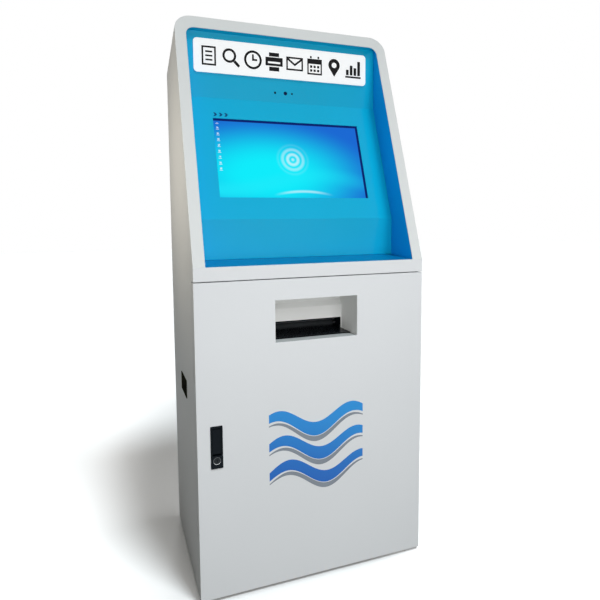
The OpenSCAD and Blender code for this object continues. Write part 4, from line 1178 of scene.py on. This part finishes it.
class KIOSK_OT_stage(Operator):
    """Sets the floor, the light, the world and the camera"""

    bl_idname = "kiosk.stage"
    bl_label = "Stage"

    def execute(self, context):
        self.lay_floor()
        self.light_room(context)
        self.hang_lamps(context)
        self.place_camera(context)
        context.scene.view_settings.view_transform = "Standard"
        return {"FINISHED"}

    def seen(self, tree):
        """One for rays from the camera, a reflection or a glass, and zero for the rest."""
        path = tree.node("ShaderNodeLightPath").socket.node
        kinds = ("Is Camera Ray", "Is Glossy Ray", "Is Transmission Ray")
        camera, glossy, through = [Signal(tree, path.outputs[kind]) for kind in kinds]
        return camera.math("MINIMUM", camera + glossy + through, 1.0)

    def lay_floor(self):
        """Wide pale floor that keeps the shadow."""
        light = studio()
        shape = bmesh.new()
        bmesh.ops.create_grid(shape, x_segments=8, y_segments=8, size=light.floor_reach)
        finish = Finish("pale_floor")
        bounced = finish.node("ShaderNodeLightPath", output="Is Diffuse Ray")
        shade = finish.mix(bounced, WHITE, light.floor_bounce)
        soft = finish.node("ShaderNodeBsdfDiffuse", None, {"Color": shade})
        # Painted shadow: the floor's glow for the eye falls to the shade glow inside an oval about the
        # cast shadow, darkening and tightening it
        oval = finish.mapped("TEXTURE", Location=light.shade_place, Scale=light.shade_size)
        share = finish.node("ShaderNodeVectorMath", {"operation": "LENGTH"}, {0: oval}, "Value")
        away = finish.ramp(share, 0.5, 1.0)
        level = light.shade_glow + (light.floor_glow - light.shade_glow) * away
        glow = finish.node("ShaderNodeEmission", None, {"Strength": self.seen(finish) * level})
        both = finish.node("ShaderNodeAddShader", None, {0: soft, 1: glow})
        finish.node("ShaderNodeOutputMaterial", None, {"Surface": both})
        new_piece("studio_floor", shape, finish.material)

    def light_room(self, context):
        """White to the camera and a weaker light on the object."""
        world = bpy.data.worlds.new("studio_room")
        world.use_nodes = True
        tree = NodeTree(world.node_tree)
        tree.tree.nodes.clear()
        seen = self.seen(tree)
        room = studio().room
        shade = tree.mix(seen, studio().room_tint, WHITE)
        strength = room + seen * (1 - room)
        light = tree.node("ShaderNodeBackground", None, {"Color": shade, "Strength": strength})
        tree.node("ShaderNodeOutputWorld", None, {"Surface": light})
        context.scene.world = world

    def hang_lamps(self, context):
        """Key light from above, and lamps before the front, beside the head and for the far sides."""
        light = studio()
        source = towards(math.pi - light.key_side, light.key_height)
        screen = middle_of("touch_glass")
        body = (Vector(CAD_BOX[0]) + Vector(CAD_BOX[1])) / 2
        self.hang(
            context, "key_light", "SUN", source, Vector(),
            energy=light.key_strength, angle=light.key_size, color=light.key_tint,
        )
        self.hang(
            context, "front_lamp", "AREA", light.front_place, screen,
            energy=light.front_power, size=light.front_size, color=light.front_tint,
        )
        self.hang(
            context, "side_lamp", "AREA", light.side_place, screen,
            energy=light.side_power, size=light.side_size, spread=light.side_spread, color=light.side_tint,
        )
        for name, place in (("back_lamp", light.back_place), ("right_lamp", light.right_place)):
            self.hang(
                context, name, "AREA", place, body,
                energy=light.fill_power, size=light.fill_size, spread=light.fill_spread,
            )

    def hang(self, context, name, kind, place, aim, **settings):
        """Hangs one lamp that shines at a point; it isn't mirrored in the finishes."""
        data = bpy.data.lights.new(name, kind)
        for key, value in settings.items():
            setattr(data, key, value)
        lamp = bpy.data.objects.new(name, data)
        lamp.location = place
        lamp.rotation_mode = "QUATERNION"
        lamp.rotation_quaternion = (Vector(place) - aim).to_track_quat("Z", "Y")
        lamp.visible_glossy = False
        context.scene.collection.objects.link(lamp)

    def place_camera(self, context):
        """Camera at the fitted place."""
        view = studio()
        data = bpy.data.cameras.new("camera")
        data.sensor_width = view.sensor
        data.lens = view.lens
        data.shift_x, data.shift_y = view.shift
        ahead = towards(view.yaw, view.pitch)
        right = towards(view.yaw + math.pi / 2, 0.0)
        up = right.cross(ahead)
        c = math.cos(view.roll)
        s = math.sin(view.roll)
        rows = Matrix((right * c + up * s, up * c - right * s, -ahead))
        camera = bpy.data.objects.new("camera", data)
        camera.matrix_world = Matrix.Translation(view.eye) @ rows.transposed().to_4x4()
        context.scene.collection.objects.link(camera)
        context.scene.camera = camera


class KIOSK_OT_cabinet(Operator):
    """Finishes the cabinet's panels, the door frame and the hinges"""

    bl_idname = "kiosk.cabinet"
    bl_label = "Cabinet"

    def execute(self, context):
        edge = sizes().sheet_edge
        white = powder_coat("white_powder_coat")
        soften_all(
            edge, "white_paint", white,
            "left_side_panel", "right_side_panel", "head_cap",
            "left_jamb", "right_jamb", "door_header", "door_sill",
        )
        # The bezel's leaning faces take the darker copy of the white coat as painted shade; its upright
        # lip keeps the white coat
        bezel = powder_coat("bezel_powder_coat")
        softened("screen_bezel", edge, "white_paint", bezel, white, second=is_upright)
        soften_all(edge, "galvanised", galvanised(), "base_plate")
        soften_all(edge, "white_paint", white, "lower_hinge_plate")
        soften_all(edge, "bare_steel", metal("brushed_steel"), "upper_hinge_plate")
        soften_all(sizes().fine_edge, "white_nylon", moulding("nylon"), "pivot_washer")
        return {"FINISHED"}


class KIOSK_OT_recess(Operator):
    """Finishes the blue recess and the title plate with its signs"""

    bl_idname = "kiosk.recess"
    bl_label = "Recess"

    def execute(self, context):
        edge = sizes().sheet_edge
        soften_all(edge, "blue_paint", gloss_coat("blue_gloss_coat"), "blue_fascia")
        # Painted light: the cheeks take a lighter, bluer copy of the fascia's blue
        soften_all(edge, "blue_paint", gloss_coat("cheek_gloss_coat"), "left_cheek", "right_cheek")
        # Painted shade: a darker blue on the recess's floor
        soften_all(edge, "blue_paint", gloss_coat("sill_gloss_coat"), "recess_floor")
        soften_all(sizes().mould_edge, "title_white", title_face(), "title_plate")
        self.print_signs()
        self.print_chevrons()
        return {"FINISHED"}

    def print_signs(self):
        """Row of plain signs on the title plate."""
        low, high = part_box("title_plate")
        pitch = (high.x - low.x) / (len(SIGNS) + SIGNS_ROOM)
        outlines = []
        for sign, place in zip(SIGNS, grid(len(SIGNS), 1, pitch, 0.0)):
            outlines += placed(sign(), place.x, place.y, sizes().sign / 2)
        film("title_signs", outlines, face_of("title_plate", -BACK), printed("black_film"), "cabinet")

    def print_chevrons(self):
        """Small arrowheads over the display's corner."""
        flat, half_w, half_h = display_plane()
        size = sizes()
        outlines = []
        for place in range(ARROWS):
            along = size.arrow_start - half_w + size.arrow_pitch * place
            outlines += placed([ARROW], along, half_h + size.arrow_rise, size.arrow)
        front = flat @ Matrix.Translation((0, 0, size.fascia_rise))
        film("display_chevrons", outlines, front, printed("arrow_film"), "cabinet")


class KIOSK_OT_display(Operator):
    """Finishes the lit display, its casing and the camera"""

    bl_idname = "kiosk.display"
    bl_label = "Display"

    def execute(self, context):
        fine = sizes().fine_edge
        mould = sizes().mould_edge
        soften_all(fine, "screen_glass", lit_display(), "touch_glass")
        soften_all(mould, "display_grey", moulding("casing_grey"), "lcd_panel", "monitor_housing")
        soften_all(fine, "galvanised", galvanised(), "monitor_brackets")
        soften_all(mould, "black_plastic", moulding("black_moulding"), "webcam_body")
        soften_all(fine, "lens_black", lens_glass(), "webcam_lens")
        return {"FINISHED"}


class KIOSK_OT_door(Operator):
    """Finishes the door, its paper outlet and its ribbons"""

    bl_idname = "kiosk.door"
    bl_label = "Door"

    def execute(self, context):
        edge = sizes().sheet_edge
        soften_all(edge, "white_paint", powder_coat("white_powder_coat"), "door_skin")
        # Painted light and shade: the outlet takes a lighter white than the cabinet, and grey on its
        # upward faces
        outlet = (powder_coat("outlet_white_coat"), powder_coat("outlet_floor_coat"))
        softened("outlet_chute", edge, "white_paint", *outlet, second=is_level)
        soften_all(edge, "galvanised", galvanised(), "door_stiffeners", "pivot_blocks")
        soften_all(sizes().fine_edge, "bare_steel", metal("brushed_steel"), "pivot_pins")
        soften_all(sizes().mould_edge, "black_plastic", moulding("tray_moulding"), "outlet_tray")
        self.print_ribbons()
        return {"FINISHED"}

    def print_ribbons(self):
        """Blue ribbons with grey undersides on the door's front."""
        low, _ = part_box("door_skin")
        flat = plane(Vector((0, low.y, sizes().emblem_low)), UP)
        blue, grey = zip(*[emblem_row(row) for row in range(RIBBONS)])
        film("door_ribbons_blue", blue, flat, ribbon_blue(), "door")
        film("door_ribbons_grey", grey, flat, ribbon_grey(), "door")


class KIOSK_OT_lock(Operator):
    """Finishes the door's lock"""

    bl_idname = "kiosk.lock"
    bl_label = "Lock"

    def execute(self, context):
        fine = sizes().fine_edge
        black = moulding("black_moulding")
        soften_all(sizes().mould_edge, "black_plastic", black, "lock_housing")
        soften_all(fine, "black_plastic", black, "lock_handle")
        soften_all(fine, "chrome_plate", button_face(), "lock_button", "key_cylinder")
        soften_all(fine, "bare_steel", metal("brushed_steel"), "handle_pin", "lock_cam")
        soften_all(fine, "galvanised", galvanised(), "lock_clamp")
        return {"FINISHED"}


class KIOSK_OT_grips(Operator):
    """Finishes the two side grips"""

    bl_idname = "kiosk.grips"
    bl_label = "Grips"

    def execute(self, context):
        # The grips' olive grey is a painted reflection on black plastic
        black = moulding("grip_moulding")
        soften_all(sizes().mould_edge, "black_plastic", black, "left_grip", "right_grip")
        return {"FINISHED"}


class KIOSK_OT_back(Operator):
    """Finishes the rear panel with its screws and the power inlet"""

    bl_idname = "kiosk.back"
    bl_label = "Back"

    def execute(self, context):
        soften_all(sizes().fine_edge, "white_paint", powder_coat("white_powder_coat"), "rear_panel")
        self.fit_screws()
        self.finish_inlet()
        return {"FINISHED"}

    def fit_screws(self):
        """Screws with heads and shanks in place of the plain ones."""
        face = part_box("rear_panel")[1].y
        low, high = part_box("rear_screws")
        screws = screw_tree("rear_panel_screws", Screw(sizes().screw_head, high.y - face, face - low.y))
        points = [Vector((-p.x, p.z, 0)) for p in island_middles("rear_screws")]
        screws.fitted(points, plane(Vector((0, face, 0)), UP, -RIGHT), "bare_steel", "rear_screws")

    def finish_inlet(self):
        """Black inlet with metal contacts in its socket."""
        openings = frame["record"]["physics"]["openings"]
        low, high = next(opening["box_m"] for opening in openings if opening["name"] == "mains_socket")
        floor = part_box("power_inlet")[1].y - sizes().socket_depth

        def is_contact(face):
            inside = all(low[axis] < face.center[axis] < high[axis] for axis in (0, 2))
            return inside and face.center.y > floor + SEAM

        fine = sizes().fine_edge
        black = moulding("black_moulding")
        softened("power_inlet", fine, "black_plastic", black, metal("brushed_steel"), second=is_contact)
        soften_all(fine, "black_plastic", black, "power_rocker")


class KIOSK_OT_fan(Operator):
    """Finishes the fan"""

    bl_idname = "kiosk.fan"
    bl_label = "Fan"

    def execute(self, context):
        black = moulding("black_moulding")
        soften_all(sizes().fine_edge, "black_plastic", black, "fan_frame", "fan_rotor")
        return {"FINISHED"}


# Printer's fittings
HEAD_RIB = Plate(0.0018, 0.020, 0.0008, 0.0012)
HEAD_RIB_PLACES = grid(35, 1, 0.0062, 0.0)
COVER_SCREW = Screw(0.0035, 0.0022, 0.002)
COVER_SCREW_PLACES = grid(2, 2, 0.205, 0.12)
FEED_KEY = Plate(0.016, 0.009, 0.002, 0.0016)
FEED_KEY_PLACE = grid(1, 1, 0.0, 0.0, 0.075, -0.055)
MOTOR_BOLT = Screw(0.0026, 0.0016, 0.002)
MOTOR_BOLT_PLACES = grid(2, 2, 0.031, 0.031)


class KIOSK_OT_printer(Operator):
    """Finishes the printer and its shelf"""

    bl_idname = "kiosk.printer"
    bl_label = "Printer"

    def execute(self, context):
        edge = sizes().sheet_edge
        fine = sizes().fine_edge
        steel = metal("brushed_steel")
        soften_all(edge, "galvanised", galvanised(), "printer_shelf", "shelf_brackets")
        soften_all(edge, "bare_steel", steel, "printer_base", "printer_left_plate", "printer_right_plate")
        soften_all(edge, "dark_paint", dark_coat(), "printer_cover", "print_head", "feed_motor")
        self.finish_platen()
        soften_all(fine, "roll_paper", roll_paper(), "paper_roll")
        soften_all(fine, "bare_steel", steel, "roll_spindle")
        self.fit_out()
        return {"FINISHED"}

    def finish_platen(self):
        """Rubber roller with a steel shaft."""
        middle = middle_of("platen_roller")
        reach = sizes().shaft_reach

        def is_shaft(face):
            return (face.center - middle).yz.length < reach

        finishes = (moulding("roller_rubber"), metal("brushed_steel"))
        softened("platen_roller", sizes().fine_edge, "roller_rubber", *finishes, second=is_shaft)

    def fit_out(self):
        """Ribs of the print head, screws of the cover and the motor, and a feed key."""
        top = face_of("printer_cover", UP, BACK)
        ribs = plate_tree("print_head_ribs", dark_coat(), HEAD_RIB)
        ribs.fitted(HEAD_RIB_PLACES, face_of("print_head", -BACK), "dark_paint")
        screws = screw_tree("printer_cover_screws", COVER_SCREW)
        screws.fitted(COVER_SCREW_PLACES, top, "bare_steel")
        key = plate_tree("printer_feed_key", moulding("casing_grey"), FEED_KEY)
        key.fitted(FEED_KEY_PLACE, top, "display_grey")
        bolts = screw_tree("feed_motor_bolts", MOTOR_BOLT)
        bolts.fitted(MOTOR_BOLT_PLACES, face_of("feed_motor", -RIGHT), "bare_steel")


# Computer's and power supply's fittings
VENT = Plate(0.004, 0.026, 0.002, 0.0003)
VENT_PLACES = grid(9, 2, 0.011, 0.034, -0.08)
PORT_SHELL = Plate(0.0145, 0.0072, 0.001, 0.0006)
PORT = Plate(0.0122, 0.0048, 0.0004, 0.0009)
PORT_PLACES = grid(3, 1, 0.021, 0.0, 0.045)
LID_SCREW = Screw(0.003, 0.0018, 0.0015)
LID_SCREW_PLACES = grid(2, 2, 0.27, 0.2)
SUPPLY_HOLE = Plate(0.0044, 0.0044, 0.0022, 0.0002)
SUPPLY_HOLE_PLACES = grid(13, 5, 0.0066, 0.0066)


class KIOSK_OT_computer(Operator):
    """Finishes the computer and the power supply"""

    bl_idname = "kiosk.computer"
    bl_label = "Computer"

    def execute(self, context):
        edge = sizes().sheet_edge
        soften_all(edge, "dark_paint", dark_coat(), "computer_tray", "computer_lid")
        soften_all(sizes().fine_edge, "chrome_plate", metal("bright_plate"), "computer_button")
        soften_all(edge, "galvanised", galvanised(), "power_supply")
        self.fit_out()
        return {"FINISHED"}

    def fit_out(self):
        """Vents and ports of the computer, screws of its lid, and holes of the power supply."""
        black = moulding("black_moulding")
        front = face_of("computer_tray", -BACK)
        vents = plate_tree("computer_vents", black, VENT)
        vents.fitted(VENT_PLACES, front, "black_plastic")
        shells = plate_tree("computer_port_shells", metal("brushed_steel"), PORT_SHELL)
        shells.fitted(PORT_PLACES, front, "bare_steel")
        ports = plate_tree("computer_ports", black, PORT)
        ports.fitted(PORT_PLACES, front, "black_plastic")
        screws = screw_tree("computer_lid_screws", LID_SCREW)
        screws.fitted(LID_SCREW_PLACES, face_of("computer_lid", UP, BACK), "bare_steel")
        holes = plate_tree("power_supply_holes", black, SUPPLY_HOLE)
        holes.fitted(SUPPLY_HOLE_PLACES, face_of("power_supply", -BACK), "black_plastic")


class KIOSK_OT_feet(Operator):
    """Finishes the feet"""

    bl_idname = "kiosk.feet"
    bl_label = "Feet"

    def execute(self, context):
        low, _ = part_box("base_plate")

        def is_stud(face):
            return face.center.z > low.z + SEAM

        finishes = (moulding("foot_rubber"), metal("brushed_steel"))
        softened("feet", sizes().mould_edge, "foot_rubber", *finishes, second=is_stud)
        return {"FINISHED"}


STEPS = (
    KIOSK_OT_stage,
    KIOSK_OT_cabinet,
    KIOSK_OT_recess,
    KIOSK_OT_display,
    KIOSK_OT_door,
    KIOSK_OT_lock,
    KIOSK_OT_grips,
    KIOSK_OT_back,
    KIOSK_OT_fan,
    KIOSK_OT_printer,
    KIOSK_OT_computer,
    KIOSK_OT_feet,
)


class KIOSK_PT_panel(Panel):
    """Lists the kiosk's sizes, colours and steps"""

    bl_idname = "KIOSK_PT_panel"
    bl_label = "Kiosk"
    bl_space_type = "VIEW_3D"
    bl_region_type = "UI"
    bl_category = "Kiosk"

    def draw(self, context):
        layout = self.layout
        for group in (colours(), sizes(), studio()):
            box = layout.box()
            for key in group.__annotations__:
                box.prop(group, key)
        for step in STEPS:
            layout.operator(step.bl_idname)


GROUPS = {"kiosk_colours": KioskColours, "kiosk_sizes": KioskSizes, "kiosk_studio": KioskStudio}
CLASSES = (*GROUPS.values(), *STEPS, KIOSK_PT_panel)


def register():
    """Makes the classes and their settings known."""
    for item in CLASSES:
        bpy.utils.register_class(item)
    for name, group in GROUPS.items():
        setattr(bpy.types.Scene, name, PointerProperty(type=group))


def unregister():
    """Takes the settings and the classes away again."""
    for name in GROUPS:
        delattr(bpy.types.Scene, name)
    for item in reversed(CLASSES):
        bpy.utils.unregister_class(item)


def main():
    """Runs every step."""
    register()
    for step in STEPS:
        getattr(bpy.ops.kiosk, step.bl_idname.split(".")[1])()


if __name__ == "__main__":
    main()
